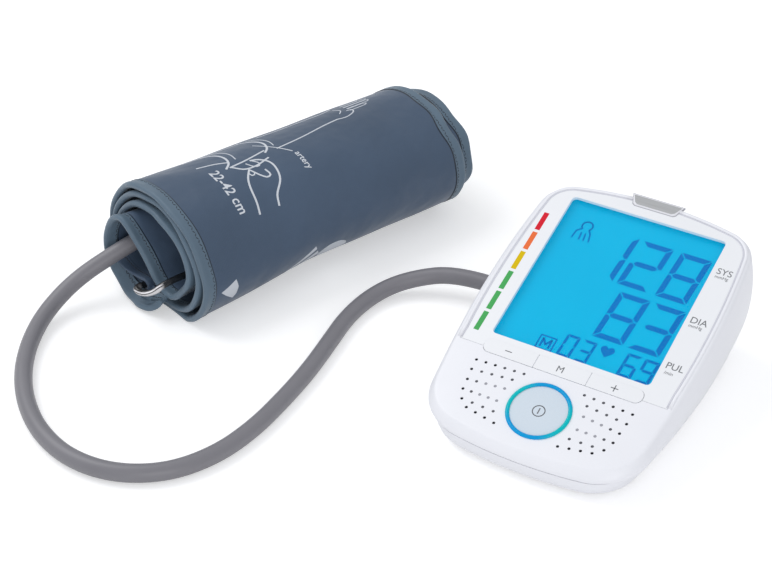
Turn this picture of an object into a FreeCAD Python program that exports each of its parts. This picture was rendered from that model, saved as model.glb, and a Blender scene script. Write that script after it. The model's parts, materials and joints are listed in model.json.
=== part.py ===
"""Arm-in blood pressure monitor: a desktop unit, its air hose and its rolled cuff.

Millimetres, +Z up, +Y to the back.  The origin is on the table under the middle of the unit.
Most pieces are drawn in the "face frame": u to the right, v up the tilted face and w out of
it, with its origin at the middle of the display.
"""
import FreeCAD, Part
import Sketcher
import math
import os

Vector = FreeCAD.Vector
Placement = FreeCAD.Placement
Rotation = FreeCAD.Rotation

# ---------------------------------------------------------------- driving dimensions
SIZES = {
    # case
    "face_tilt": 19.3,          # degrees between the face and the table
    "face_back": 17.0,          # display centre behind the origin
    "face_rise": 42.7,          # display centre above the table
    "case_half": 49.6,          # half width of the face, ridge to ridge
    "case_front": 85.0,         # face edge in front of the display centre
    "case_back": 49.3,          # face edge behind the display centre
    "side_bow": 388.0,          # radius of the bowed long sides
    "front_bow": 160.0,
    "back_bow": 167.0,
    "front_corner": 19.5,
    "back_corner": 14.5,
    "belly": 2.2,               # how far the side walls swell past the ridge
    "parting_rise": 10.2,       # height of the joint between the two shells
    "parting_tuck": 2.2,        # side walls draw in by this much at the joint
    "base_rise": 1.2,           # underside of the case above the table
    "base_tuck": 7.1,
    "ridge_round": 2.4,
    "wall": 2.3,
    "face_wall": 3.2,
    "floor_wall": 2.4,
    "shell_gap": 0.3,           # dark line between the shells
    "fit": 0.15,                # clearance of parts that drop into a recess
    # display stack
    "frame_thick": 1.5,
    "frame_inset": 2.4,
    "frame_foot": 46.1,         # lower edge of the display frame
    "window_wide": 69.8,
    "window_tall": 77.7,
    "window_round": 1.9,
    "lens_margin": 2.0,
    "lens_foot_margin": 1.35,
    "lens_thick": 1.6,
    "glass_gap": 0.3,
    "glass_wide": 75.0,
    "glass_foot": 40.6,
    "glass_head": 41.2,
    "glass_thick": 2.8,
    "light_wide": 73.0,
    "light_foot": 38.0,
    "light_head": 40.6,
    "light_thick": 3.4,
    "strip_long": 66.0,
    "strip_thick": 2.0,
    # board
    "board_thick": 1.6,
    "board_wide": 86.8,
    "board_head": 41.0,
    "board_shoulder": 56.0,
    "board_foot": 73.5,
    "tongue_wide": 66.0,
    "board_clip": 9.0,          # corners cut off beside the case's round corners
    "post_radius": 2.2,
    "post_out": 40.6,
    "post_head": 34.0,
    "post_foot": 52.0,
    "board_screw": 1.8,
    "board_screw_long": 6.0,
    "capacitor_radius": 2.5,
    "capacitor_tall": 6.0,
    "capacitor_u": 23.5,
    "capacitor_v": 26.0,
    "capacitor_pitch": 6.5,
    # keys
    "key_row": 45.1,            # key bar centre below the display centre
    "key_tall": 6.6,
    "key_split": 0.3,
    "key_mid": 22.9,
    "key_proud": 0.25,
    "key_travel": 0.5,
    "flange_gap": 0.3,
    "key_flange": 1.2,
    "key_skirt": 1.1,
    "stem_radius": 1.6,
    "stem_long": 0.8,
    "switch_side": 6.0,
    "switch_tall": 3.1,
    # power button and its ring
    "power_row": 66.2,
    "ring_outer": 12.75,
    "ring_inner": 11.9,
    "ring_proud": 0.35,
    "ring_wall": 0.6,
    "ring_flange": 13.75,
    "ring_lip": 3.2,
    "button_radius": 11.7,
    "button_flange": 12.0,
    "button_proud": 0.1,
    # badge plate
    "badge_top": 22.7,
    "badge_foot": 18.4,
    "badge_low": 43.7,
    "badge_high": 48.4,
    "badge_thick": 1.2,
    "badge_proud": 0.3,
    # speaker
    "speaker_u": 25.2,
    "speaker_v": 64.0,
    "basket_radius": 8.7,
    "basket_deep": 4.5,
    "basket_wall": 0.8,
    "magnet_radius": 6.0,
    "magnet_deep": 3.6,
    "cone_thick": 0.4,
    "cone_travel": 0.3,
    "grille_hole": 0.65,
    # screws and their bosses
    "boss_radius": 3.4,
    "boss_front_x": 37.5,
    "boss_front_y": 42.0,
    "boss_back_x": 36.6,
    "boss_back_y": 48.5,
    "boss_front_split": 8.0,
    "boss_back_split": 24.0,
    "boss_back_top": 38.0,
    "rib": 1.5,
    "screw_radius": 1.45,
    "screw_long": 12.0,
    "screw_head": 2.6,
    "screw_head_tall": 2.0,
    "screw_bearing": 3.6,       # boss material between screw head and split
    # batteries
    "cell_radius": 7.1,
    "cell_long": 49.5,
    "cell_nub": 2.7,
    "cell_nub_long": 1.0,
    "cell_pitch": 14.6,
    "cell_x": 4.0,              # middle of the battery bay
    "bay_front": 11.5,
    "bay_gap": 4.7,             # room for the springs
    "contact_thick": 0.4,
    "bay_wall": 1.5,
    "door_thick": 2.2,
    "door_half": 27.5,
    "door_rail": 1.2,
    "door_step": 1.15,
    "door_front": 14.0,
    "door_back": 59.0,
    "door_gap": 0.25,
    "door_travel": 18.0,
    "spring_radius": 3.2,
    "spring_wire": 0.35,
    "spring_turns": 3.0,
    # feet
    "foot_radius": 3.5,
    "foot_tall": 2.0,
    "foot_front_x": 28.0,
    "foot_front_y": 47.0,
    "foot_back_x": 38.2,
    "foot_back_y": 37.0,
    # air line
    "line_x": 30.0,             # pump, tee and valve stand in this row
    "socket_y": 34.0,
    "socket_z": 11.2,
    "socket_inset": 1.2,        # mouth of the socket inside the case's half width
    "socket_radius": 6.4,
    "socket_flange": 6.8,
    "socket_flange_thick": 1.2,
    "socket_bore": 4.2,
    "socket_deep": 6.4,
    "barb_radius": 2.0,
    "barb_bore": 1.0,
    "barb_long": 4.2,
    "sleeve_gap": 0.1,
    "sleeve_wall": 1.0,
    "tee_radius": 3.2,
    "tee_port": 2.6,
    "motor_x": 34.8,
    "motor_z": 13.0,
    "motor_radius": 8.5,
    "motor_back": 14.0,
    "motor_long": 22.0,
    "motor_wall": 0.7,
    "head_wide": 16.4,
    "head_tall": 16.0,
    "head_long": 12.0,
    "head_cavity": 5.6,
    "shaft_radius": 1.0,
    "armature_radius": 6.2,
    "armature_long": 12.0,
    "eccentric_radius": 3.6,
    "eccentric_offset": 1.0,
    "eccentric_thick": 4.0,
    "valve_wide": 6.2,
    "valve_tall": 11.0,
    "valve_long": 12.0,
    "valve_gap": 0.8,
    "plunger_radius": 1.6,
    "plunger_long": 7.5,
    "plunger_travel": 1.0,
    "sensor_side": 7.0,
    "sensor_tall": 4.0,
    # plug and hose
    "plug_gap": 0.5,
    "plug_spigot": 4.0,
    "plug_insert": 5.8,
    "plug_radius": 6.0,
    "plug_neck": 4.6,
    "plug_out": 11.1,            # plug length outside the socket
    "plug_bore": 1.5,
    "plug_pull": 9.0,
    "hose_radius": 3.8,
    "hose_bore": 1.9,
    # rolled cuff
    "roll_x": -193.7,
    "roll_y": -40.1,
    "roll_heading": 68.2,       # degrees from +X to the roll's axis
    "set_middle_x": -87.5,      # middle of the monitor and the roll, from the monitor's base
    "set_middle_y": 28.24,
    "roll_half_wide": 33.4,     # wrap midline at the right-hand side of the last turn
    "roll_half_tall": 25.9,
    "wrap_pitch": 4.1,
    "wrap_thick": 3.2,
    "cuff_long": 154.7,
    "hem_band": 8.0,
    "bladder_thick": 1.1,
    "bladder_margin": 15.0,
    "pocket_gap": 0.15,
    "bar_wire": 1.3,            # wire radius of the metal bar
    "bar_wide": 24.0,
    "bar_lean": 32.0,
    "bar_near": 9.0,            # how far the bar stands out of the roll's open end
    "bar_out": 7.0,             # how far the bar stands out of the cuff at each end
    "bar_corner": 5.0,
    "loop_wall": 1.1,
    "nipple_radius": 3.4,
    "nipple_long": 9.0,
    "nipple_flange": 3.6,
}

doc = FreeCAD.newDocument("arm_blood_pressure_monitor")
sheet = doc.addObject("Spreadsheet::Sheet", "sizes")
for row, (alias, value) in enumerate(SIZES.items(), start=1):
    sheet.set("A%d" % row, alias)
    sheet.set("B%d" % row, str(value))
    sheet.setAlias("B%d" % row, alias)
doc.recompute()


class Dimensions:
    """Reads a size from the sheet as a plain number: dim.wall."""

    def __getattr__(self, alias):
        return float(getattr(sheet, alias))


dim = Dimensions()

socket_face = dim.case_half - dim.socket_inset
beyond = 2 * dim.case_front     # a cut this long passes through every wall

# Depths in the face frame that several pieces share.
lens_top = -dim.frame_thick
glass_top = lens_top - dim.lens_thick - dim.glass_gap
light_top = glass_top - dim.glass_thick
board_top = light_top - dim.light_thick
board_foot = board_top - dim.board_thick
face_under = -dim.face_wall
flange_top = face_under - dim.flange_gap
flange_foot = flange_top - dim.key_flange
switch_top = flange_foot - dim.stem_long - dim.key_travel - 0.1

tilt = math.radians(dim.face_tilt)
FACE = Placement(Vector(0, dim.face_back, dim.face_rise), Rotation(Vector(1, 0, 0), dim.face_tilt))
ROLL_TURN = Rotation(Vector(0, 0, 1), dim.roll_heading - 90) * Rotation(Vector(1, 0, 0), 90)


def on_face(u=0.0, v=0.0, w=0.0):
    """Placement of a piece drawn in the face frame and moved to (u, v, w)."""
    return FACE * Placement(Vector(u, v, w), Rotation())


def face_height(y, w=0.0):
    """Height above the table of the plane at depth w, over a point of the table."""
    return dim.face_rise + (y - dim.face_back) * math.tan(tilt) + w / math.cos(tilt)


# ---------------------------------------------------------------- drawing helpers
def new_body(label, place=None):
    body = doc.addObject("PartDesign::Body", label)
    body.Label = label
    if place is not None:
        body.Placement = place
    return body


def new_sketch(body, role="XY_Plane", lift=None):
    """A sketch on one of the body's own origin planes, lifted along the plane's normal."""
    sketch = body.newObject("Sketcher::SketchObject", body.Name + "_sketch")
    plane = next(f for f in body.Origin.OriginFeatures if f.Role == role)
    sketch.AttachmentSupport = (plane, [""])
    sketch.MapMode = "FlatFace"
    if lift is not None:
        sketch.setExpression("AttachmentOffset.Base.z", lift)
    return sketch


def bind(sketch, kind, geometry, point, formula):
    """A signed distance from the sketch's origin, driven by a formula of the sheet."""
    index = sketch.addConstraint(Sketcher.Constraint(kind, -1, 1, geometry, point, 1.0))
    sketch.setExpression("Constraints[%d]" % index, formula)


def draw_polygon(sketch, corners):
    """A closed outline whose corners are pairs of formulas."""
    places = [Vector(sketch.evalExpression(x), sketch.evalExpression(y), 0) for x, y in corners]
    count = len(places)
    first = sketch.GeometryCount
    for i in range(count):
        sketch.addGeometry(Part.LineSegment(places[i], places[(i + 1) % count]), False)
    for i in range(count):
        after = first + (i + 1) % count
        sketch.addConstraint(Sketcher.Constraint("Coincident", first + i, 2, after, 1))
    for i, (x, y) in enumerate(corners):
        for kind, formula, value in (("DistanceX", x, places[i].x), ("DistanceY", y, places[i].y)):
            index = sketch.addConstraint(Sketcher.Constraint(kind, -1, 1, first + i, 1, value))
            sketch.setExpression("Constraints[%d]" % index, formula)


def draw_circle(sketch, radius, x="0", y="0"):
    centre = Vector(sketch.evalExpression(x), sketch.evalExpression(y), 0)
    size = sketch.evalExpression(radius)
    index = sketch.addGeometry(Part.Circle(centre, Vector(0, 0, 1), size), False)
    ring = sketch.addConstraint(Sketcher.Constraint("Radius", index, size))
    sketch.setExpression("Constraints[%d]" % ring, radius)
    for kind, formula, value in (("DistanceX", x, centre.x), ("DistanceY", y, centre.y)):
        place = sketch.addConstraint(Sketcher.Constraint(kind, -1, 1, index, 3, value))
        sketch.setExpression("Constraints[%d]" % place, formula)


def pad(body, sketch, length, down=False):
    feature = body.newObject("PartDesign::Pad", body.Name + "_pad")
    feature.Profile = sketch
    feature.setExpression("Length", length)
    feature.Reversed = down
    return feature


def pocket(body, sketch, length, up=False):
    """Cuts from the sketch's plane: down into the solid, or up where the solid lies above."""
    doc.recompute()
    before = body.Shape.Volume
    feature = body.newObject("PartDesign::Pocket", body.Name + "_pocket")
    feature.Profile = sketch
    feature.setExpression("Length", length)
    feature.Reversed = up
    doc.recompute()
    if not body.Shape.Volume < before - 1e-6:
        raise RuntimeError("%s: a pocket cuts nothing" % body.Label)
    return feature


def revolve(body, sketch, axis="V_Axis"):
    feature = body.newObject("PartDesign::Revolution", body.Name + "_turned")
    feature.Profile = sketch
    feature.ReferenceAxis = (sketch, [axis])
    feature.Angle = 360.0
    return feature


def round_edges(body, radius, pick):
    """Fillets the edges of the body's last feature that pick() accepts."""
    doc.recompute()
    base = body.Tip
    names = ["Edge%d" % (i + 1) for i, edge in enumerate(base.Shape.Edges) if pick(edge)]
    feature = body.newObject("PartDesign::Fillet", body.Name + "_round")
    feature.Base = (base, names)
    feature.setExpression("Radius", radius)
    return feature


def upright(edge):
    """True for a straight edge along the body's own Z."""
    if not isinstance(edge.Curve, Part.Line):
        return False
    return abs(edge.Curve.Direction.z) > 0.99


def block_body(label, place, corners, thick, foot="0 mm", corner=None):
    """A flat plate: an outline padded upwards from the height foot."""
    body = new_body(label, place)
    sketch = new_sketch(body, lift=foot)
    draw_polygon(sketch, corners)
    pad(body, sketch, thick)
    if corner is not None:
        round_edges(body, corner, upright)
    return body


def rectangle(left, right, foot, head):
    return [(left, foot), (right, foot), (right, head), (left, head)]


def centred(width, foot, head):
    return rectangle("-(%s) / 2" % width, "(%s) / 2" % width, foot, head)


def set_shape(label, shape, place=None):
    """A piece whose shape is worked out below, for forms that sketches don't give."""
    feature = doc.addObject("Part::Feature", label)
    feature.Label = label
    feature.Shape = shape
    if place is not None:
        feature.Placement = place
    return feature


def box(x0, x1, y0, y1, z0, z1):
    return Part.makeBox(x1 - x0, y1 - y0, z1 - z0, Vector(x0, y0, z0))


def rod(radius, start, end):
    """A solid cylinder between two points."""
    start, end = Vector(start), Vector(end)
    return Part.makeCylinder(radius, (end - start).Length, start, end - start)


def placed(shape, place):
    moved = shape.copy()
    moved.Placement = place * moved.Placement
    return moved


def join(shapes):
    return shapes[0].multiFuse(shapes[1:]).removeSplitter() if len(shapes) > 1 else shapes[0]


# ---------------------------------------------------------------- case outline
def corner_centre(c1, r1, c2, r2, corner):
    """Centre of the corner arc that lies inside two circles and touches both."""
    reach1, reach2 = r1 - corner, r2 - corner
    span = c2 - c1
    gap = span.Length
    along = (reach1 ** 2 - reach2 ** 2 + gap ** 2) / (2 * gap)
    across = math.sqrt(reach1 ** 2 - along ** 2)
    unit = span / gap
    normal = Vector(-unit.y, unit.x, 0)
    options = [c1 + unit * along + normal * across, c1 + unit * along - normal * across]
    return max(options, key=lambda p: p.x)


def case_outline(half, front, back, inset=0.0):
    """Closed wire of eight tangent arcs: bowed sides joined by round corners."""
    half, front, back = half - inset, front - inset, back - inset
    middle = (back - front) / 2 + dim.case_half * 0.17
    side_r, front_r, back_r = (dim.side_bow, dim.front_bow, dim.back_bow)
    side = Vector(half - side_r, middle, 0)
    rear = Vector(0, back - back_r, 0)
    nose = Vector(0, front_r - front, 0)
    arcs = {}
    for name, end, end_r, corner in (("rear", rear, back_r, dim.back_corner),
                                     ("nose", nose, front_r, dim.front_corner)):
        corner = corner - inset
        centre = corner_centre(side, side_r, end, end_r, corner)
        on_side = side + (centre - side) * (side_r / (side_r - corner))
        on_end = end + (centre - end) * (end_r / (end_r - corner))
        middle_dir = ((on_side + on_end) / 2 - centre).normalize()
        arcs[name] = (on_side, centre + middle_dir * corner, on_end)

    def flip(p):
        return Vector(-p.x, p.y, 0)

    side_a, side_m, side_b = arcs["nose"][0], side + Vector(side_r, 0, 0), arcs["rear"][0]
    rear_m, nose_m = rear + Vector(0, back_r, 0), nose - Vector(0, front_r, 0)
    rear_e, nose_e = arcs["rear"][2], arcs["nose"][2]
    rear_c, nose_c = arcs["rear"][1], arcs["nose"][1]
    stops = [(side_a, side_m, side_b), (side_b, rear_c, rear_e), (rear_e, rear_m, flip(rear_e)),
             (flip(rear_e), flip(rear_c), flip(side_b)), (flip(side_b), flip(side_m), flip(side_a)),
             (flip(side_a), flip(nose_c), flip(nose_e)), (flip(nose_e), nose_m, nose_e),
             (nose_e, nose_c, side_a)]
    return Part.Wire([Part.Arc(*stop).toShape() for stop in stops])


def outline_at(level, inset=0.0, sink=0.0):
    """The case outline at one of four levels, in the part's frame."""
    reach_front = dim.face_back - dim.case_front * math.cos(tilt)
    reach_back = dim.face_back + dim.case_back * math.cos(tilt)
    if level == "ridge":
        wire = case_outline(dim.case_half, dim.case_front, dim.case_back, inset)
        return placed(wire, on_face(w=-sink))
    if level == "belly":
        # A plane halfway between the face and the parting plane, hinged where those two meet.
        hinge_y = dim.face_back - (dim.face_rise - dim.parting_rise) / math.tan(tilt)
        lean = dim.face_tilt * 0.57
        slope = math.cos(math.radians(lean))
        front = (hinge_y - reach_front + dim.belly) / slope
        back = (reach_back + dim.belly - hinge_y) / slope
        wire = case_outline(dim.case_half + dim.belly, front, back, inset)
        turn = Rotation(Vector(1, 0, 0), lean)
        return placed(wire, Placement(Vector(0, hinge_y, dim.parting_rise), turn))
    tuck = {"parting": dim.parting_tuck, "low": dim.parting_tuck + dim.base_tuck * 0.17,
            "base": dim.base_tuck}[level]
    flare = {"parting": 3.0, "low": 2.2, "base": dim.parting_tuck - dim.base_tuck + 2.7}[level]
    rise = {"parting": dim.parting_rise, "low": dim.base_rise + 4.0, "base": dim.base_rise}[level]
    wire = case_outline(dim.case_half - tuck, flare - reach_front, reach_back + flare - 2.0, inset)
    return placed(wire, Placement(Vector(0, 0, rise + sink), Rotation()))


def loft(wires):
    return Part.makeLoft(wires, True, False)


def pill(long, tall, thick, foot, round_by):
    """A bar with rounded ends, lying along u, padded up from the depth foot."""
    shape = Part.makeBox(long, tall, thick, Vector(-long / 2, -tall / 2, foot))
    return shape.makeFillet(round_by, [e for e in shape.Edges if upright(e)])


def rounded_prism(left, right, foot, head, low, high, corner):
    shape = box(left, right, foot, head, low, high)
    return shape.makeFillet(corner, [e for e in shape.Edges if upright(e)])


def badge_prism(grow, low, high):
    """The trapezium of the badge plate, grown sideways by a clearance."""
    top, foot = dim.badge_top / 2 + grow, dim.badge_foot / 2 + grow
    corners = [(-foot, dim.badge_low - grow), (foot, dim.badge_low - grow),
               (top, dim.badge_high + grow), (-top, dim.badge_high + grow)]
    ring = Part.makePolygon([Vector(u, v, low) for u, v in corners + corners[:1]])
    return Part.Face(ring).extrude(Vector(0, 0, high - low))


def frame_prism(inset, low, high, foot_extra=0.0):
    """The display frame's outline: the case outline drawn in, with a straight foot."""
    wire = case_outline(dim.case_half, dim.case_front, dim.case_back, dim.frame_inset + inset)
    slab = Part.Face(placed(wire, Placement(Vector(0, 0, low), Rotation())))
    slab = slab.extrude(Vector(0, 0, high - low))
    foot = -dim.frame_foot + inset - foot_extra
    keep = box(-2 * dim.case_half, 2 * dim.case_half, foot, 2 * dim.case_back, low, high)
    return slab.common(keep)


# Rows of speaker holes beside the power button: holes, outermost u, v, pitch, drop per hole.
GRILLE_ROWS = [(6, 34.3, -53.5, 4.2, -0.2), (5, 34.0, -58.4, 4.4, -0.4), (5, 33.3, -63.4, 4.0, -0.4),
               (5, 32.8, -68.2, 3.8, 0.0), (4, 31.0, -72.6, 4.8, 0.2), (4, 27.4, -75.6, 4.5, 0.8)]


def grille_centres():
    centres = []
    for count, outer, v, pitch, drop in GRILLE_ROWS:
        for i in range(int(count)):
            for side in (-1, 1):
                centres.append((side * (outer - i * pitch), v - i * drop))
    return centres


def boss_places():
    """x, y, split height and screw seat height of the four case bosses."""
    places = []
    for x, y, split in ((dim.boss_front_x, -dim.boss_front_y, dim.boss_front_split),
                        (dim.boss_back_x, dim.boss_back_y, dim.boss_back_split)):
        for side in (-1, 1):
            places.append((side * x, y, split, split - dim.screw_bearing))
    return places


def post_places():
    return [(side * dim.post_out, v) for v in (dim.post_head, -dim.post_foot) for side in (-1, 1)]


# ---------------------------------------------------------------- upper housing
def make_upper_housing():
    outer = loft([outline_at("ridge"), outline_at("belly"), outline_at("parting")])
    top = max(outer.Faces, key=lambda f: f.CenterOfMass.z if isinstance(f.Surface, Part.Plane) else -1)
    outer = outer.makeFillet(dim.ridge_round, top.Edges)
    inner = loft([outline_at("ridge", dim.wall + 0.4, dim.face_wall), outline_at("belly", dim.wall),
                  outline_at("parting", dim.wall)])
    plug = outline_at("parting", dim.wall)
    drop = Part.Face(plug).extrude(Vector(0, 0, -2 * dim.wall))
    shell = outer.cut(join([inner, drop]))
    shell = shell.cut(box(-beyond, beyond, -beyond, beyond, 0, dim.parting_rise + dim.shell_gap / 2))
    extras = []
    for u, v in post_places():
        post = rod(dim.post_radius, (u, v, board_top), (u, v, face_under + 0.5))
        extras.append(placed(post, FACE))
    for x, y, split, seat in boss_places():
        if y < 0:
            extras.append(rod(dim.boss_radius, (x, y, split), (x, y, face_height(y, face_under) + 1.0)))
            continue
        # The back bosses end below the board and hang from ribs to the side and rear walls.
        top, thin, side = dim.boss_back_top, dim.rib / 2, math.copysign(1, x)
        extras.append(rod(dim.boss_radius, (x, y, split), (x, y, top)))
        reach = x + side * 2 * dim.boss_radius * 2
        extras.append(box(min(x, reach), max(x, reach), y - thin, y + thin, split, top))
        extras.append(box(x - thin, x + thin, y, y + 6 * dim.boss_radius, split, top))
    shell = join([shell] + [extra.common(outer) for extra in extras])
    tools = []
    for u, v in post_places():
        tools.append(rod(dim.board_screw / 2 + 0.1, (u, v, board_top - 1),
                         (u, v, board_top + dim.board_screw_long)))
    tools.append(frame_prism(-dim.fit, -dim.frame_thick, 5))
    tools.append(badge_prism(dim.fit, dim.badge_proud - dim.badge_thick, 5))
    half = dim.window_wide / 2 + dim.lens_margin + dim.fit
    tools.append(box(-half, half, -dim.window_tall / 2 - dim.lens_foot_margin - dim.fit,
                     dim.window_tall / 2 + dim.lens_margin + dim.fit, face_under - 1, 1))
    slot = pill(dim.window_wide + 2 * dim.fit, dim.key_tall + 2 * dim.fit, 9, face_under - 2,
                dim.key_tall / 2 - 0.2)
    tools.append(placed(slot, Placement(Vector(0, -dim.key_row, 0), Rotation())))
    tools.append(rod(dim.ring_outer + dim.fit, (0, -dim.power_row, face_under - 1),
                     (0, -dim.power_row, 5)))
    tools += [rod(dim.grille_hole, (u, v, face_under - 1), (u, v, 1)) for u, v in grille_centres()]
    shell = shell.cut([placed(tool, FACE) for tool in tools])
    for x, y, split, seat in boss_places():
        shell = shell.cut(rod(dim.screw_radius + 0.05, (x, y, split - 1),
                              (x, y, min(seat + dim.screw_long + 0.5, face_height(y, face_under)))))
    return shell.cut(socket_hole())


def socket_hole():
    """Opening for the air socket, split between the two shells."""
    end = (-dim.case_half - 9, dim.socket_y, dim.socket_z)
    start = (-dim.case_half + 9, dim.socket_y, dim.socket_z)
    return rod(dim.socket_radius + dim.fit, start, end)


# ---------------------------------------------------------------- lower housing
bay_half = (dim.cell_long + dim.cell_nub_long + dim.bay_gap + 2 * dim.contact_thick) / 2
bay_back = -dim.bay_front + 4 * dim.cell_pitch + 0.6
door_top = dim.base_rise + dim.door_thick
cell_z = door_top + 0.2 + dim.cell_radius
bay_roof = cell_z + dim.cell_radius + 0.2


def make_lower_housing():
    outer = loft([outline_at("parting"), outline_at("low"), outline_at("base")])
    inner = loft([outline_at("parting", dim.wall), outline_at("low", dim.wall),
                  outline_at("base", dim.wall, dim.floor_wall)])
    shell = outer.cut(inner)
    shell = shell.cut(box(-beyond, beyond, -beyond, beyond, dim.parting_rise - dim.shell_gap / 2, beyond))
    left, right = dim.cell_x - bay_half, dim.cell_x + bay_half
    extras = [box(left - dim.bay_wall, right + dim.bay_wall, -dim.bay_front - dim.bay_wall,
                  bay_back + dim.bay_wall, dim.base_rise, bay_roof + dim.bay_wall)]
    rail = dim.cell_x - dim.door_half - dim.door_rail - dim.bay_wall
    rail_right = 2 * dim.cell_x - rail
    extras.append(box(rail, rail_right, -dim.door_front - dim.bay_wall, dim.door_back - 1.5,
                      dim.base_rise, door_top + dim.door_gap + dim.bay_wall))
    for x, y, split, seat in boss_places():
        extras.append(rod(dim.boss_radius, (x, y, dim.base_rise), (x, y, split)))
    shell = join([shell] + [extra.common(outer) for extra in extras])
    tools = [box(left, right, -dim.bay_front, bay_back, door_top, bay_roof)]
    half = dim.door_half + dim.door_gap
    tools.append(box(dim.cell_x - half, dim.cell_x + half, -dim.door_front - dim.door_gap, beyond,
                     -1, door_top + dim.door_gap))
    half = dim.door_half + dim.door_rail + dim.door_gap
    tools.append(box(dim.cell_x - half, dim.cell_x + half, -dim.door_front - dim.door_gap, beyond,
                     dim.base_rise + dim.door_step - dim.door_gap / 2, door_top + dim.door_gap))
    for x, y, split, seat in boss_places():
        tools.append(rod(dim.screw_head + 0.4, (x, y, -1), (x, y, seat)))
        tools.append(rod(dim.screw_radius + 0.2, (x, y, seat - 1), (x, y, split + 1)))
    for x, y in foot_places():
        tools.append(rod(dim.foot_radius + dim.fit, (x, y, -1), (x, y, dim.foot_tall)))
    tools.append(socket_hole())
    return shell.cut(tools)


def foot_places():
    places = []
    for x, y in ((dim.foot_front_x, -dim.foot_front_y), (dim.foot_back_x, dim.foot_back_y)):
        places += [(-x, y), (x, y)]
    return places


def make_battery_door():
    half = dim.door_half
    plate = box(-half, half, -dim.door_front, dim.door_back, dim.base_rise,
                dim.base_rise + dim.door_step + 0.2)
    wide = half + dim.door_rail
    rails = box(-wide, wide, -dim.door_front, dim.door_back - 3.0,
                dim.base_rise + dim.door_step + dim.door_gap / 2, door_top)
    lip = box(-half, half, dim.door_back - 3.2, dim.door_back, dim.base_rise, door_top)
    return placed(join([plate, rails, lip]), Placement(Vector(dim.cell_x, 0, 0), Rotation()))


# ---------------------------------------------------------------- display stack
def make_display_frame():
    plate = frame_prism(0.0, -dim.frame_thick, 0.0)
    window = rounded_prism(-dim.window_wide / 2, dim.window_wide / 2, -dim.window_tall / 2,
                           dim.window_tall / 2, -beyond, beyond, dim.window_round)
    slot = pill(dim.window_wide + 2 * dim.fit, dim.key_tall + 2 * dim.fit, 2 * beyond, -beyond,
                dim.key_tall / 2 - 0.2)
    slot = placed(slot, Placement(Vector(0, -dim.key_row, 0), Rotation()))
    return plate.cut([window, slot, badge_prism(dim.fit, -beyond, beyond)])


def make_display_stack():
    lens = centred("sizes.window_wide + 2 * sizes.lens_margin",
                   "-sizes.window_tall / 2 - sizes.lens_foot_margin",
                   "sizes.window_tall / 2 + sizes.lens_margin")
    place = on_face(w=lens_top - dim.lens_thick)
    block_body("display_window", place, lens, "sizes.lens_thick")
    glass = centred("sizes.glass_wide", "-sizes.glass_foot", "sizes.glass_head")
    block_body("lcd_panel", on_face(w=light_top), glass, "sizes.glass_thick")
    guide = centred("sizes.light_wide", "-sizes.light_foot", "sizes.light_head")
    block_body("backlight_guide", on_face(w=board_top), guide, "sizes.light_thick")
    strip = centred("sizes.strip_long", "-sizes.glass_foot + 0.3",
                    "-sizes.glass_foot + 0.3 + sizes.strip_thick")
    block_body("lcd_contact_strip", on_face(w=board_top), strip, "sizes.light_thick")


def make_main_board():
    """Circuit board: a wide part behind the display and a tongue under the keys."""
    body = new_body("main_board", on_face(w=board_foot))
    sketch = new_sketch(body)
    wide, narrow = "sizes.board_wide / 2", "sizes.tongue_wide / 2"
    draw_polygon(sketch, [
        ("-" + narrow, "-sizes.board_foot"), (narrow, "-sizes.board_foot"),
        (narrow, "-sizes.board_shoulder"), (wide, "-sizes.board_shoulder"),
        (wide, "sizes.board_head - sizes.board_clip"), (wide + " - sizes.board_clip", "sizes.board_head"),
        ("-" + wide + " + sizes.board_clip", "sizes.board_head"),
        ("-" + wide, "sizes.board_head - sizes.board_clip"),
        ("-" + wide, "-sizes.board_shoulder"), ("-" + narrow, "-sizes.board_shoulder")])
    pad(body, sketch, "sizes.board_thick")
    doc.recompute()
    holes = new_sketch(body, lift="sizes.board_thick")
    for side in ("-", ""):
        for row in ("sizes.post_head", "-sizes.post_foot"):
            draw_circle(holes, "sizes.board_screw / 2 + 0.15", side + "sizes.post_out", row)
    draw_circle(holes, "sizes.magnet_radius + 0.6", "-sizes.speaker_u", "-sizes.speaker_v")
    pocket(body, holes, "sizes.board_thick")
    return body


def make_switches():
    """Four push switches on the board, one under each key."""
    side = dim.switch_side
    shapes = []
    for u, v in ((-key_pitch(), -dim.key_row), (0, -dim.key_row), (key_pitch(), -dim.key_row),
                 (0, -dim.power_row)):
        base = box(u - side / 2, u + side / 2, v - side / 2, v + side / 2, board_top,
                   board_top + dim.switch_tall)
        stud = rod(dim.stem_radius, (u, v, board_top + dim.switch_tall - 0.5), (u, v, switch_top))
        shapes.append(base.fuse(stud))
    set_shape("tact_switches", Part.makeCompound(shapes), FACE)


def make_board_parts():
    """Controller chip, memory, crystal and two capacitors under the board."""
    spots = [(-4, 18, 12, 12, 1.6), (14, 22, 6, 5, 1.2), (2, 30, 9, 3.6, 2.4), (24, 8, 7, 5, 1.8)]
    shapes = []
    for u, v, wide, tall, thick in spots:
        shapes.append(box(u - wide / 2, u + wide / 2, v - tall / 2, v + tall / 2,
                          board_foot - thick, board_foot))
    for u in (dim.capacitor_u, dim.capacitor_u + dim.capacitor_pitch):
        shapes.append(rod(dim.capacitor_radius, (u, dim.capacitor_v, board_foot - dim.capacitor_tall),
                          (u, dim.capacitor_v, board_foot)))
    set_shape("board_parts", Part.makeCompound(shapes), FACE)


def make_board_screws():
    shapes = []
    for u, v in post_places():
        shank = rod(dim.board_screw / 2, (u, v, board_foot - 0.5),
                    (u, v, board_top + dim.board_screw_long - 0.8))
        head = rod(dim.board_screw, (u, v, board_foot - 1.4), (u, v, board_foot))
        shapes.append(head.fuse(shank))
    set_shape("board_screws", Part.makeCompound(shapes), FACE)


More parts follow.
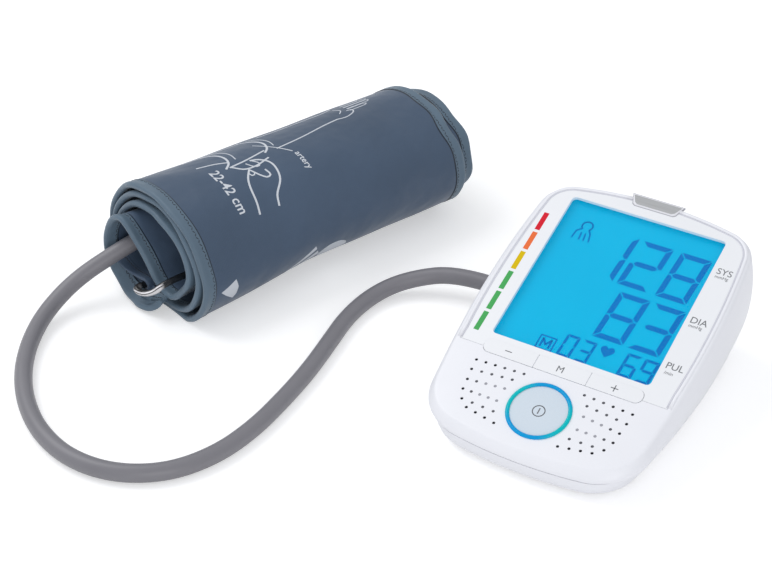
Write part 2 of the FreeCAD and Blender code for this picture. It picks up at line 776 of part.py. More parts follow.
# ---------------------------------------------------------------- keys and power button
# The key bar is as wide as the display window above it.
def key_pitch():
    """Distance from the middle key's centre to the centre of an outer key."""
    return (dim.key_mid / 2 + dim.key_split + dim.window_wide / 2) / 2


def make_key(label, left, right, open_side):
    """One cap of the key bar, with a hidden skirt below the face and a stem to its switch."""
    body = new_body(label, on_face(v=-dim.key_row))
    cap = new_sketch(body, lift="-sizes.face_wall - sizes.flange_gap - sizes.key_flange")
    draw_polygon(cap, rectangle(left, right, "-sizes.key_tall / 2", "sizes.key_tall / 2"))
    pad(body, cap, "sizes.face_wall + sizes.flange_gap + sizes.key_flange + sizes.key_proud")
    if open_side:
        def outer_edge(edge):
            return upright(edge) and edge.CenterOfMass.x * open_side > dim.window_wide / 2 - 1
        round_edges(body, "sizes.key_tall / 2 - 0.3", outer_edge)
    skirt = new_sketch(body, lift="-sizes.face_wall - sizes.flange_gap - sizes.key_flange")
    draw_polygon(skirt, rectangle(left, right, "-sizes.key_tall / 2 - sizes.key_skirt",
                                  "sizes.key_tall / 2"))
    pad(body, skirt, "sizes.key_flange")
    stem = new_sketch(body, lift="-sizes.face_wall - sizes.flange_gap - sizes.key_flange")
    middle = "((%s) + (%s)) / 2" % (left, right)
    draw_circle(stem, "sizes.stem_radius", middle)
    pad(body, stem, "sizes.stem_long", down=True)
    return body


def make_keys():
    inner = "sizes.key_mid / 2 + sizes.key_split"
    outer = "sizes.window_wide / 2"
    make_key("minus_key", "-(%s)" % outer, "-(%s)" % inner, -1)
    make_key("memory_key", "-sizes.key_mid / 2", "sizes.key_mid / 2", 0)
    make_key("plus_key", inner, outer, 1)


def turned(label, place, corners):
    """A body turned about its own Z; corners are (radius, height) formulas."""
    body = new_body(label, place)
    sketch = new_sketch(body, role="XZ_Plane")
    draw_polygon(sketch, corners)
    revolve(body, sketch)
    return body


def make_power_button():
    foot = "-sizes.face_wall - sizes.flange_gap - sizes.key_flange"
    top = "-sizes.face_wall - sizes.flange_gap"
    turned("power_button", on_face(v=-dim.power_row), [
        ("0", foot + " - sizes.stem_long"), ("sizes.stem_radius", foot + " - sizes.stem_long"),
        ("sizes.stem_radius", foot), ("sizes.button_flange", foot), ("sizes.button_flange", top),
        ("sizes.button_radius", top), ("sizes.button_radius", "sizes.button_proud"),
        ("0", "sizes.button_proud")])


def make_power_ring():
    """Light ring round the button; its tube reaches down to the board."""
    lip = "-sizes.ring_lip"
    under = "-sizes.face_wall - sizes.fit"
    foot = "%.6f mm" % board_top
    turned("power_ring", on_face(v=-dim.power_row), [
        ("sizes.ring_inner", lip), ("sizes.ring_outer - sizes.ring_wall", lip),
        ("sizes.ring_outer - sizes.ring_wall", foot), ("sizes.ring_outer", foot),
        ("sizes.ring_outer", under + " - 1.0"), ("sizes.ring_flange", under + " - 1.0"),
        ("sizes.ring_flange", under), ("sizes.ring_outer", under),
        ("sizes.ring_outer", "sizes.ring_proud"), ("sizes.ring_inner", "sizes.ring_proud")])


# ---------------------------------------------------------------- speaker
def make_speaker():
    place = on_face(-dim.speaker_u, -dim.speaker_v, face_under - 0.1)
    radius, wall = "sizes.basket_radius", "sizes.basket_wall"
    deep = "-sizes.basket_deep"
    turned("speaker_basket", place, [
        ("sizes.magnet_radius / 2", deep), (radius, deep), (radius, "0"),
        ("%s - %s" % (radius, wall), "0"), ("%s - %s" % (radius, wall), "%s + %s" % (deep, wall)),
        ("sizes.magnet_radius / 2", "%s + %s" % (deep, wall))])
    turned("speaker_magnet", place, [
        ("0", deep + " - sizes.magnet_deep"), ("sizes.magnet_radius", deep + " - sizes.magnet_deep"),
        ("sizes.magnet_radius", deep), ("0", deep)])
    rim = "sizes.basket_radius - sizes.basket_wall - 0.2"
    throat = "sizes.magnet_radius / 2 - 0.4"
    thick = "sizes.cone_thick"
    turned("speaker_cone", place, [
        (throat, "-2.6 - %s" % thick), (rim, "-0.8 - %s" % thick), (rim, "-0.8"), (throat, "-2.6"),
        ("0", "-1.9"), ("0", "-1.9 - %s" % thick)])


# ---------------------------------------------------------------- fasteners and feet
def make_housing_screws():
    shapes = []
    for x, y, split, seat in boss_places():
        head = rod(dim.screw_head, (x, y, seat - dim.screw_head_tall), (x, y, seat))
        shank = rod(dim.screw_radius, (x, y, seat - 0.5), (x, y, seat + dim.screw_long))
        cross = [box(x - 1.3, x + 1.3, y - 0.3, y + 0.3, seat - 3, seat - dim.screw_head_tall + 0.9),
                 box(x - 0.3, x + 0.3, y - 1.3, y + 1.3, seat - 3, seat - dim.screw_head_tall + 0.9)]
        shapes.append(head.fuse(shank).cut(cross))
    set_shape("housing_screws", Part.makeCompound(shapes))


def make_feet():
    shapes = [rod(dim.foot_radius, (x, y, 0), (x, y, dim.foot_tall)) for x, y in foot_places()]
    set_shape("rubber_feet", Part.makeCompound(shapes))


# ---------------------------------------------------------------- batteries
def cell_rows():
    """y of each cell and the side its positive nub points to."""
    first = -dim.bay_front + 0.3 + dim.cell_pitch / 2
    return [(first + i * dim.cell_pitch, 1 if i % 2 else -1) for i in range(4)]


def make_batteries():
    """Four AA cells side by side, turned head to tail."""
    shapes = []
    for y, side in cell_rows():
        nub_end = dim.cell_x + side * (bay_half - dim.contact_thick)
        shoulder = nub_end - side * dim.cell_nub_long
        tail = shoulder - side * dim.cell_long
        can = rod(dim.cell_radius, (tail, y, cell_z), (shoulder, y, cell_z))
        nub = rod(dim.cell_nub, (shoulder, y, cell_z), (nub_end, y, cell_z))
        shapes.append(can.fuse(nub))
    set_shape("batteries", Part.makeCompound(shapes))


def make_battery_contacts():
    """Sheet contacts on both end walls of the bay, with a coil spring at each tail."""
    shapes = []
    for y, side in cell_rows():
        for end in (-1, 1):
            wall = dim.cell_x + end * bay_half
            inner = wall - end * dim.contact_thick
            shapes.append(box(min(wall, inner), max(wall, inner), y - 5.5, y + 5.5,
                              cell_z - 5.0, cell_z + 5.0))
        foot = dim.cell_x - side * (bay_half - dim.contact_thick)
        steps = int(6 * dim.spring_turns)
        rise = (dim.bay_gap - 2 * dim.spring_wire) / steps
        coil_line = [(dim.spring_radius * math.cos(math.radians(60 * i)),
                      dim.spring_radius * math.sin(math.radians(60 * i)), rise * i)
                     for i in range(steps + 1)]
        coil = tube_along(rounded_path(coil_line)[0], dim.spring_wire)
        turn = Rotation(Vector(0, 1, 0), 90 * side)
        shapes.append(placed(coil, Placement(Vector(foot + side * dim.spring_wire, y, cell_z), turn)))
    set_shape("battery_contacts", Part.makeCompound(shapes))


# ---------------------------------------------------------------- air line inside the case
line = Vector(-dim.line_x, dim.socket_y, dim.socket_z)
head_back = dim.motor_back + dim.head_long
socket_tip = -socket_face + dim.socket_deep + dim.socket_flange_thick
barb_tip = socket_tip + dim.barb_long


def make_air_socket():
    """Stepped bush in the left wall: open cup outside, hose barb inside."""
    place = Placement(Vector(-socket_face, dim.socket_y, dim.socket_z),
                      Rotation(Vector(0, 1, 0), 90))
    deep = "sizes.socket_deep"
    back = "sizes.socket_deep + sizes.socket_flange_thick"
    tip = back + " + sizes.barb_long"
    turned("air_socket", place, [
        ("sizes.socket_bore", "0"), ("sizes.socket_radius", "0"), ("sizes.socket_radius", deep),
        ("sizes.socket_flange", deep), ("sizes.socket_flange", back),
        ("sizes.barb_radius", back), ("sizes.barb_radius", tip), ("sizes.barb_bore", tip),
        ("sizes.barb_bore", deep), ("sizes.socket_bore", deep)])


def make_air_tee():
    """Moulded tee with four ports: socket, pump, valve and pressure sensor."""
    up = FACE.Rotation.multVec(Vector(0, 0, 1))
    core = rod(dim.tee_radius, line + Vector(0, -dim.tee_radius, 0), line + Vector(0, dim.tee_radius, 0))
    reach = dim.tee_radius + dim.tee_port
    ports = [Vector(-reach, 0, 0), Vector(0, -reach, 0), Vector(0, reach, 0), up * reach]
    body = join([core] + [rod(dim.barb_radius, line, line + port) for port in ports])
    return body.cut([rod(dim.barb_bore, line, line + port * 1.1) for port in ports])


def sleeve(start, end):
    """A short silicone tube over two facing barbs."""
    inner = dim.barb_radius + dim.sleeve_gap
    return rod(inner + dim.sleeve_wall, start, end).cut(rod(inner, start, end))


def sensor_foot():
    """Distance along the face normal from the tee to the sensor's underside."""
    up = FACE.Rotation.multVec(Vector(0, 0, 1))
    board = FACE.multVec(Vector(0, 0, board_foot))
    return up, (board - line).dot(up) - dim.sensor_tall


def make_air_tubes():
    up, foot = sensor_foot()
    body = dim.tee_radius
    runs = [(Vector(barb_tip - dim.barb_long + 0.5, line.y, line.z), line - Vector(body + 0.1, 0, 0)),
            (Vector(line.x, head_back + 0.1, line.z), line - Vector(0, body + 0.1, 0)),
            (line + Vector(0, body + 0.1, 0), Vector(line.x, valve_front() - 0.1, line.z)),
            (line + up * (body + 1.3), line + up * (foot - 0.2))]
    set_shape("air_tubes", Part.makeCompound([sleeve(a, b) for a, b in runs]))


def valve_front():
    return line.y + dim.tee_radius + dim.tee_port + dim.valve_gap + dim.tee_port


def make_pressure_sensor():
    up, foot = sensor_foot()
    base = line + up * foot
    local = FACE.inverse().multVec(base)
    side = dim.sensor_side / 2
    body = box(local.x - side, local.x + side, local.y - side, local.y + side, local.z,
               local.z + dim.sensor_tall)
    spout = rod(dim.barb_radius, (local.x, local.y, local.z - dim.tee_port - 1),
                (local.x, local.y, local.z + 0.5))
    set_shape("pressure_sensor", body.fuse(spout), FACE)


def make_pump():
    x, z, back = -dim.motor_x, dim.motor_z, dim.motor_back
    front = back - dim.motor_long
    wall = dim.motor_wall
    can = rod(dim.motor_radius, (x, front, z), (x, back, z))
    hollow = rod(dim.motor_radius - wall, (x, front + wall, z), (x, back - wall, z))
    bore = rod(dim.shaft_radius + 0.08, (x, front - 1, z), (x, back + 1, z))
    set_shape("pump_motor", can.cut([hollow, bore]))
    head = box(x - dim.head_wide / 2, x + dim.head_wide / 2, back, head_back,
               z - dim.head_tall / 2, z + dim.head_tall / 2)
    chamber = rod(dim.head_cavity, (x, back - 1, z), (x, head_back - 4, z))
    nipple = rod(dim.barb_radius, (line.x, head_back - 1, line.z),
                 (line.x, line.y - dim.tee_radius - dim.tee_port - 0.3, line.z))
    duct = rod(dim.barb_bore, (line.x, head_back - 3, line.z), (line.x, line.y, line.z))
    set_shape("pump_head", head.fuse(nipple).cut([chamber, duct]))
    shaft = rod(dim.shaft_radius, (x, front - 1.0, z), (x, head_back - 5, z))
    armature = rod(dim.armature_radius, (x, front + 4, z), (x, front + 4 + dim.armature_long, z))
    cam_x = x + dim.eccentric_offset
    cam = rod(dim.eccentric_radius, (cam_x, back + 1.5, z), (cam_x, back + 1.5 + dim.eccentric_thick, z))
    set_shape("pump_rotor", join([shaft, armature, cam]))


def make_valve():
    front = valve_front()
    back = front + dim.valve_long
    block = box(line.x - dim.valve_wide / 2, line.x + dim.valve_wide / 2, front, back,
                line.z - dim.valve_tall / 2, line.z + dim.valve_tall / 2)
    spout = rod(dim.barb_radius, (line.x, front - dim.tee_port, line.z), (line.x, front + 0.5, line.z))
    duct = rod(dim.barb_bore, (line.x, front - 9, line.z), (line.x, front + 3, line.z))
    seat = front + 3.0
    bore = rod(dim.plunger_radius + 0.15, (line.x, seat, line.z), (line.x, back + 1, line.z))
    set_shape("valve_body", block.fuse(spout).cut([duct, bore]))
    plunger_foot = seat + dim.plunger_travel + 0.3
    end = back + dim.plunger_travel
    pin = rod(dim.plunger_radius, (line.x, plunger_foot, line.z),
              (line.x, plunger_foot + dim.plunger_long, line.z))
    tail = rod(dim.plunger_radius * 0.6, (line.x, plunger_foot + 1, line.z), (line.x, end, line.z))
    set_shape("valve_plunger", pin.fuse(tail))


# ---------------------------------------------------------------- plug and hose
plug_tip = dim.plug_gap + dim.plug_out
plug_foot = dim.plug_insert


def make_air_plug():
    """Plug on the hose: a spigot in the socket, a grip and a neck that holds the hose."""
    place = Placement(Vector(-socket_face, dim.socket_y, dim.socket_z),
                      Rotation(Vector(0, 1, 0), -90))
    start = "-sizes.plug_insert"
    grip = "sizes.plug_gap"
    tip = "sizes.plug_gap + sizes.plug_out"
    turned("air_plug", place, [
        ("sizes.plug_bore", start), ("sizes.plug_spigot", start), ("sizes.plug_spigot", grip),
        ("sizes.plug_radius", grip), ("sizes.plug_radius", grip + " + 5.0"),
        ("sizes.plug_neck", tip), ("sizes.plug_bore", tip)])


# Corners of the hose's route, from the plug to its end inside the roll.
HOSE_ROUTE = [(-60.0, 34.0, 11.2), (-80.2, 34.0, 11.2), (-99.1, 24.0, 7.2), (-108.3, 10.6, 4.5),
              (-110.4, -9.6, 3.9), (-106.7, -32.1, 3.9), (-103.6, -53.0, 3.9),
              (-102.3, -73.9, 3.9), (-102.1, -94.7, 3.9), (-105.5, -115.5, 3.9),
              (-115.5, -134.0, 3.9), (-132.8, -145.3, 3.9), (-153.2, -147.6, 3.9),
              (-173.7, -141.4, 3.9), (-191.6, -129.5, 3.9), (-206.4, -114.2, 3.9),
              (-218.0, -95.9, 3.9), (-224.6, -76.7, 5.6), (-222.5, -57.9, 12.0),
              (-211.7, -41.7, 20.8), (-202.4, -22.6, 26.3), (-194.8, -3.0, 27.8)]


def rounded_path(points):
    """Straight runs joined by tangent arcs, each as large as its two runs allow."""
    points = [Vector(*p) for p in points]
    edges, radii = [], []
    here = points[0]
    for before, corner, after in zip(points, points[1:], points[2:]):
        into, out = (corner - before), (after - corner)
        trim = 0.45 * min(into.Length, out.Length)
        turn = into.getAngle(out)
        radii.append(trim / math.tan(turn / 2))
        into.normalize()
        out.normalize()
        start, end = corner - into * trim, corner + out * trim
        bisector = (out - into).normalize()
        centre_gap = radii[-1] / math.cos(turn / 2)
        middle = corner + bisector * (centre_gap - radii[-1])
        edges.append(Part.LineSegment(here, start).toShape())
        edges.append(Part.Arc(start, middle, end).toShape())
        here = end
    edges.append(Part.LineSegment(here, points[-1]).toShape())
    return Part.Wire(edges), radii


def tube_along(wire, radius, bore=0.0):
    start = wire.Edges[0].Vertexes[0].Point
    direction = wire.Edges[0].tangentAt(wire.Edges[0].FirstParameter)
    ring = Part.Wire(Part.Circle(start, direction, radius).toShape())
    solid = wire.makePipeShell([ring], True, False, 2)
    if bore:
        ring = Part.Wire(Part.Circle(start, direction, bore).toShape())
        solid = solid.cut(wire.makePipeShell([ring], True, False, 2))
    return solid


def make_hose():
    start = Vector(-socket_face - plug_tip, dim.socket_y, dim.socket_z)
    wire, radii = rounded_path([tuple(start)] + HOSE_ROUTE[1:])
    hose = tube_along(wire, dim.hose_radius, dim.hose_bore)
    section = math.pi * (dim.hose_radius ** 2 - dim.hose_bore ** 2)
    print("hose length %.1f, volume / section %.1f" % (wire.Length, hose.Volume / section))
    print("hose bend radii " + " ".join("%.0f" % r for r in radii))
    set_shape("air_hose", hose)


# ---------------------------------------------------------------- rolled cuff
# The cuff is drawn in its end view: first coordinate to the right, second up from the table,
# and the third runs along the roll, from the near end to the far one.
ROLL = Placement(Vector(dim.roll_x, dim.roll_y, 0), ROLL_TURN)
roll_middle = dim.roll_half_tall - 0.25 * dim.wrap_pitch + dim.wrap_thick / 2
SPIRAL_START = -35
SPIRAL_END = 955

# Midline of the innermost stretch: the end with the bar's loop, up the left, over and down
# again through the bar, to where the spiral begins.
INNER_STRETCH = [(-3.0, 10.2), (-9.0, 10.0), (-16.4, 12.2), (-21.8, 17.4), (-23.5, 24.5),
                 (-22.0, 31.5), (-17.8, 36.8), (-12.6, 38.4), (-8.0, 35.4), (-3.5, 28.8),
                 (1.0, 21.8), (5.6, 15.4), (11.0, 11.6), (16.0, 12.2)]


def spiral_point(angle):
    growth = dim.wrap_pitch * (angle - 720) / 360
    turn = math.radians(angle)
    return Vector((dim.roll_half_wide + growth) * math.cos(turn),
                  roll_middle + (dim.roll_half_tall + growth) * math.sin(turn), 0)


def wrap_midline(step=20):
    """Points along the whole cuff, from its inner end to its outer end."""
    points = [Vector(x, z, 0) for x, z in INNER_STRETCH]
    points += [spiral_point(angle) for angle in range(SPIRAL_START + 5, SPIRAL_END + 1, step)]
    return points


def midline_curve():
    curve = Part.BSplineCurve()
    curve.interpolate(wrap_midline())
    return curve


def band(curve, first, last, out, into, near, far, count):
    """The stretch of the cuff between two parameters, from offset into to offset out."""
    outer, inner = [], []
    for i in range(count + 1):
        at = first + (last - first) * i / count
        place = curve.value(at)
        along = Vector(*curve.tangent(at)[0])
        normal = Vector(along.y, -along.x, 0)
        outer.append(place + normal * out)
        inner.append(place + normal * into)
    edges = []
    for side in (outer, inner):
        line_curve = Part.BSplineCurve()
        line_curve.interpolate(side)
        edges.append(line_curve.toShape())
    edges.insert(1, Part.LineSegment(outer[-1], inner[-1]).toShape())
    edges.append(Part.LineSegment(inner[0], outer[0]).toShape())
    face = Part.Face(Part.Wire(Part.__sortEdges__(edges)))
    face.translate(Vector(0, 0, -near))
    return face.extrude(Vector(0, 0, near - far))


def turn_parameters(curve):
    """Curve parameters at the inner end, at each full turn and at the outer end."""
    marks = [Vector(*INNER_STRETCH[7], 0)]
    marks += [spiral_point(angle) for angle in (SPIRAL_START + 5, 325, 685)]
    inner = [curve.parameter(mark) for mark in marks]
    return [curve.FirstParameter] + inner + [curve.LastParameter]


def make_cuff():
    curve = midline_curve()
    stops = turn_parameters(curve)
    half = dim.wrap_thick / 2
    # Each turn starts and ends a little further along the roll than its neighbour.
    reach = [(-9.0, -3.0), (-4.5, -3.0), (-1.0, 4.0), (1.5, 7.5), (3.5, 0.0)]
    turns = []
    for (first, last), (near, far), count in zip(zip(stops, stops[1:]), reach, (14, 14, 18, 18, 14)):
        turns.append(band(curve, first, last, half, -half, near, dim.cuff_long + far, count))
    cuff = join(turns)
    pocket_half = dim.bladder_thick / 2 + dim.pocket_gap
    near, far = dim.bladder_margin, dim.cuff_long - dim.bladder_margin
    first = stops[4]
    end = stops[5]
    pocket_cut = band(curve, first, end, pocket_half, -pocket_half, near, far, 14)
    back = first + 0.02 * (end - first)
    stop = end - 0.03 * (end - first)
    bladder = band(curve, back, stop, dim.bladder_thick / 2, -dim.bladder_thick / 2,
                   near + dim.pocket_gap, far - dim.pocket_gap, 14)
    set_shape("cuff_wrap", cuff.cut(pocket_cut), ROLL)
    set_shape("cuff_bladder", bladder, ROLL)


def bar_centre():
    """Middle of the wire bar, and the direction of its short side, in the roll's end view."""
    lean = math.radians(dim.bar_lean)
    direction = Vector(math.cos(lean), math.sin(lean), 0)
    left = Vector(0, 7.65 + dim.bar_wire + dim.loop_wall + 0.15, 0)
    return left, direction


def make_cuff_bar():
    """Chromed wire bent to a long rectangle; the cuff's free end threads through it."""
    left, across = bar_centre()
    near, far = dim.bar_near, -(dim.cuff_long - 3.0 + dim.bar_out)
    along = Vector(0, 0, 1)
    corners = [left + along * near, left + along * far,
               left + across * dim.bar_wide + along * far, left + across * dim.bar_wide + along * near]
    edges, count, r = [], 4, dim.bar_corner
    for i in range(count):
        here, after, last = corners[i], corners[(i + 1) % count], corners[i - 1]
        into, out = (here - last).normalize(), (after - here).normalize()
        start, end = here - into * r, here + out * r
        middle = here + (out - into) * (r * (1 - math.sqrt(0.5)))
        edges.append(Part.Arc(start, middle, end).toShape())
        edges.append(Part.LineSegment(end, after - out * r).toShape())
    wire = Part.Wire(Part.__sortEdges__(edges))
    bar = tube_along(wire, dim.bar_wire)
    set_shape("cuff_bar", bar, ROLL)
    inner = dim.bar_wire + 0.15
    near_end, far_end = dim.bar_near - 4.2, -(dim.cuff_long - 6.0)
    start, end = left + along * near_end, left + along * far_end
    loop = rod(inner + dim.loop_wall, start, end).cut(rod(inner, start, end))
    set_shape("bar_loop", loop, ROLL)


def make_hose_nipple():
    """Elbow that joins the hose's end to the inside of the cuff."""
    end = Vector(*HOSE_ROUTE[-1])
    before = Vector(*HOSE_ROUTE[-2])
    along = (end - before).normalize()
    left = ROLL.Rotation.multVec(Vector(-1, 0, 0))
    tip = end + along * dim.nipple_long
    barrel = rod(dim.nipple_radius, end, tip)
    elbow = end + along * (dim.nipple_long - dim.nipple_radius)
    stub = rod(dim.nipple_radius * 0.75, elbow, elbow + left * 4.2)
    flange = rod(dim.nipple_flange, elbow + left * 3.4, elbow + left * 4.2)
    set_shape("hose_nipple", join([barrel, stub, flange]))


# ---------------------------------------------------------------- build and export
set_shape("upper_housing", make_upper_housing())
set_shape("lower_housing", make_lower_housing())
set_shape("display_frame", make_display_frame(), FACE)
make_display_stack()
set_shape("badge_plate", badge_prism(0.0, dim.badge_proud - dim.badge_thick, dim.badge_proud), FACE)
make_main_board()
make_switches()
make_board_parts()
make_board_screws()
make_keys()
make_power_button()
make_power_ring()
make_speaker()
make_housing_screws()
make_feet()
set_shape("battery_door", make_battery_door())
make_batteries()
make_battery_contacts()
make_air_socket()
set_shape("air_tee", make_air_tee())
make_air_tubes()
make_pressure_sensor()
make_pump()
make_valve()
make_air_plug()
make_hose()
make_cuff()
make_cuff_bar()
make_hose_nipple()

doc.recompute()
nodes = [o for o in doc.Objects if o.TypeId in ("PartDesign::Body", "Part::Feature")]
for item in doc.Objects:
    if "Invalid" in item.State or "Error" in item.State:
        raise RuntimeError("%s failed: %s" % (item.Label, item.State))
for node in nodes:
    if node.Shape.isNull() or not node.Shape.isValid() or not node.Shape.Solids:
        raise RuntimeError("%s has no valid solid" % node.Label)

# The pieces are drawn around the monitor's base. The part's own origin is on the table, under
# the middle of the monitor and the rolled cuff together.
middle = Vector(dim.set_middle_x, dim.set_middle_y, 0)
os.makedirs("parts", exist_ok=True)
for node in nodes:
    node.Shape.translated(-middle).exportStep(os.path.join("parts", node.Label + ".step"))
print("%d nodes" % len(nodes))
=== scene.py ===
# %% [markdown]
# # An upper-arm blood pressure monitor
# A white desktop unit with a tilted blue display, a grey air hose and a rolled cuff.
# The rigid shells, keys and inner parts come from the CAD model, which is the frame.
# This script gives every piece its finish, and makes the soft and printed parts. Rigid shapes
# stay with the CAD model, which the joints and the collisions use as well.
# Everything is in metres, in the frame of the CAD model: +X right, +Y back, +Z up.

# %% Load the frame
import bmesh
import bpy
import json
import math
import numpy as np
from mathutils import Matrix, Vector


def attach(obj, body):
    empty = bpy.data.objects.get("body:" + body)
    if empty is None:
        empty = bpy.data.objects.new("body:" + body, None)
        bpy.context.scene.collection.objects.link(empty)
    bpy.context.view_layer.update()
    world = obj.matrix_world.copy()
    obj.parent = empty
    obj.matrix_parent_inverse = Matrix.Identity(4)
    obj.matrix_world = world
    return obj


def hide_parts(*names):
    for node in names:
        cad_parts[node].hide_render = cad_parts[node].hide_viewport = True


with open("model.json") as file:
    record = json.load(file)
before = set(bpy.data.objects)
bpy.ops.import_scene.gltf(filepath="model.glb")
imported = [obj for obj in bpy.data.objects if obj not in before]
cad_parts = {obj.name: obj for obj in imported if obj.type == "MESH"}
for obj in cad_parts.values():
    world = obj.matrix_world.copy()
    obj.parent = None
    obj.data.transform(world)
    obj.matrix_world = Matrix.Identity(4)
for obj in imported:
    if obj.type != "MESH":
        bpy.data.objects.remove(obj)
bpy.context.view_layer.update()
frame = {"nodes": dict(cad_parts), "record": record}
NODES = frame["nodes"]
scene = bpy.context.scene
MM = 0.001
BASE = Vector((87.5, -28.24, 0.0)) * MM     # the middle of the monitor's base

# %% [markdown]
# ## Camera
# The camera looks from the front right, about 35 degrees above the table.
# Its three directions are written out, so the view doesn't depend on a target object.
# A long lens keeps the unit's long edges nearly parallel.

# %% Camera
CAMERA_PLACE = (0.2194, -0.5308, 0.4516)     # from the middle of the monitor's base
CAMERA_RIGHT, CAMERA_UP = (0.859, 0.5117, 0.0), (-0.2945, 0.4944, 0.8178)
CAMERA_BACK = (0.4185, -0.7025, 0.5756)
LENS_LONG, SENSOR_WIDE = 80.97, 36.0

camera_data = bpy.data.cameras.new("studio_camera")
camera_data.lens, camera_data.sensor_width = LENS_LONG, SENSOR_WIDE
camera_data.clip_start, camera_data.clip_end = 0.01, 20.0
camera = bpy.data.objects.new("studio_camera", camera_data)
turn = Matrix((CAMERA_RIGHT, CAMERA_UP, CAMERA_BACK)).transposed().to_4x4()
camera.matrix_world = Matrix.Translation(BASE + Vector(CAMERA_PLACE)) @ turn
scene.collection.objects.link(camera)
scene.camera = camera
print("camera distance to the base: %.3f m" % (camera.location - BASE).length)

# %% [markdown]
# ## The air hose
# The hose is one soft tube of fixed length. It leaves the plug, drops to the table, runs in
# a wide loop in front of the cuff, and rises into the roll.
# It could be swept as a solid in CAD, or be a chain of short rigid links. A NURBS curve with a
# round section is right for it: it bends smoothly.

# %% Hose
HOSE_ROUTE = [(-60.0, 34.0, 11.2), (-80.2, 34.0, 11.2), (-99.1, 24.0, 7.2), (-108.3, 10.6, 4.5),
              (-110.4, -9.6, 3.9), (-106.7, -32.1, 3.9), (-103.6, -53.0, 3.9),
              (-102.3, -73.9, 3.9), (-102.1, -94.7, 3.9), (-105.5, -115.5, 3.9),
              (-115.5, -134.0, 3.9), (-132.8, -145.3, 3.9), (-153.2, -147.6, 3.9),
              (-173.7, -141.4, 3.9), (-191.6, -129.5, 3.9), (-206.4, -114.2, 3.9),
              (-218.0, -95.9, 3.9), (-224.6, -76.7, 5.6), (-222.5, -57.9, 12.0),
              (-211.7, -41.7, 20.8), (-202.4, -22.6, 26.3), (-194.8, -3.0, 27.8)]
HOSE_DIAMETER = 7.6 * MM

def nurbs_tube(name, points, radius):
    data = bpy.data.curves.new(name, "CURVE")
    data.dimensions = "3D"
    data.bevel_depth, data.bevel_resolution, data.resolution_u = 1.0, 8, 10
    data.use_fill_caps = True
    spline = data.splines.new("NURBS")
    spline.points.add(len(points) - 1)
    for place, corner in zip(spline.points, points):
        place.co = (*(BASE + Vector(corner) * MM), 1.0)
        place.radius = radius
    spline.order_u, spline.use_endpoint_u = 3, True
    piece = bpy.data.objects.new(name, data)
    scene.collection.objects.link(piece)
    return piece

hose = nurbs_tube("hose", HOSE_ROUTE, HOSE_DIAMETER / 2)
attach(hose, "cuff_set")
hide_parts("air_hose")

# %% [markdown]
# ## Finishes
# Each finish is a small node tree on one Principled shader.
# Moulded plastic is never one flat colour: a slow noise shifts the tone a little, and a fine
# noise gives the spark-eroded surface of the mould. Object coordinates keep the grain the
# same size on every piece.

# %% Node helpers
def new_material(name):
    material = bpy.data.materials.new(name)
    material.use_nodes = True
    tree = material.node_tree
    shader = tree.nodes["Principled BSDF"]
    return material, tree, shader

def wire(tree, start, start_socket, end, end_socket):
    tree.links.new(start.outputs[start_socket], end.inputs[end_socket])

def tune(node, values):
    """Sets the inputs of a node by their names; three numbers are a colour."""
    for title, value in values.items():
        colour = isinstance(value, tuple) and len(value) == 3
        node.inputs[title].default_value = (*value, 1.0) if colour else value

def fill(tree, node, number, value):
    """Fills one input with a number, a colour, or a (node, socket) pair to join to it."""
    if isinstance(value, tuple) and not isinstance(value[0], float):
        wire(tree, *value, node, number)
    else:
        tune(node, {number: value})

# %% Sum, mix and range nodes
MIX_FACTOR, MIX_LOW, MIX_HIGH, MIX_RESULT = 0, 6, 7, 2      # sockets of a colour mix

def math_node(tree, operation, *values):
    node = tree.nodes.new("ShaderNodeMath")
    node.operation = operation
    for number, value in enumerate(values):
        fill(tree, node, number, value)
    return node

def mix_node(tree, factor, low, high):
    node = tree.nodes.new("ShaderNodeMix")
    node.data_type = "RGBA"
    for number, value in ((MIX_FACTOR, factor), (MIX_LOW, low), (MIX_HIGH, high)):
        fill(tree, node, number, value)
    return node

def range_node(tree, source, socket, start=0.0, end=1.0, low=0.0, high=1.0):
    node = tree.nodes.new("ShaderNodeMapRange")
    tune(node, {"From Min": start, "From Max": end, "To Min": low, "To Max": high})
    wire(tree, source, socket, node, "Value")
    return node

# %% Noise, ramp and bump nodes
def noise_node(tree, coordinates, scale, detail=2.0, socket="Object"):
    node = tree.nodes.new("ShaderNodeTexNoise")
    tune(node, {"Scale": scale, "Detail": detail})
    wire(tree, coordinates, socket, node, "Vector")
    return node

def ramp_node(tree, source, socket, low, high, start=0.3, end=0.7):
    node = tree.nodes.new("ShaderNodeValToRGB")
    node.color_ramp.elements[0].position, node.color_ramp.elements[1].position = start, end
    node.color_ramp.elements[0].color = (*low, 1.0)
    node.color_ramp.elements[1].color = (*high, 1.0)
    wire(tree, source, socket, node, "Fac")
    return node

def bump_node(tree, source, socket, shader, distance, strength=1.0, below=None):
    node = tree.nodes.new("ShaderNodeBump")
    tune(node, {"Distance": distance, "Strength": strength})
    wire(tree, source, socket, node, "Height")
    if below is not None:
        wire(tree, below, "Normal", node, "Normal")
    wire(tree, node, "Normal", shader, "Normal")
    return node

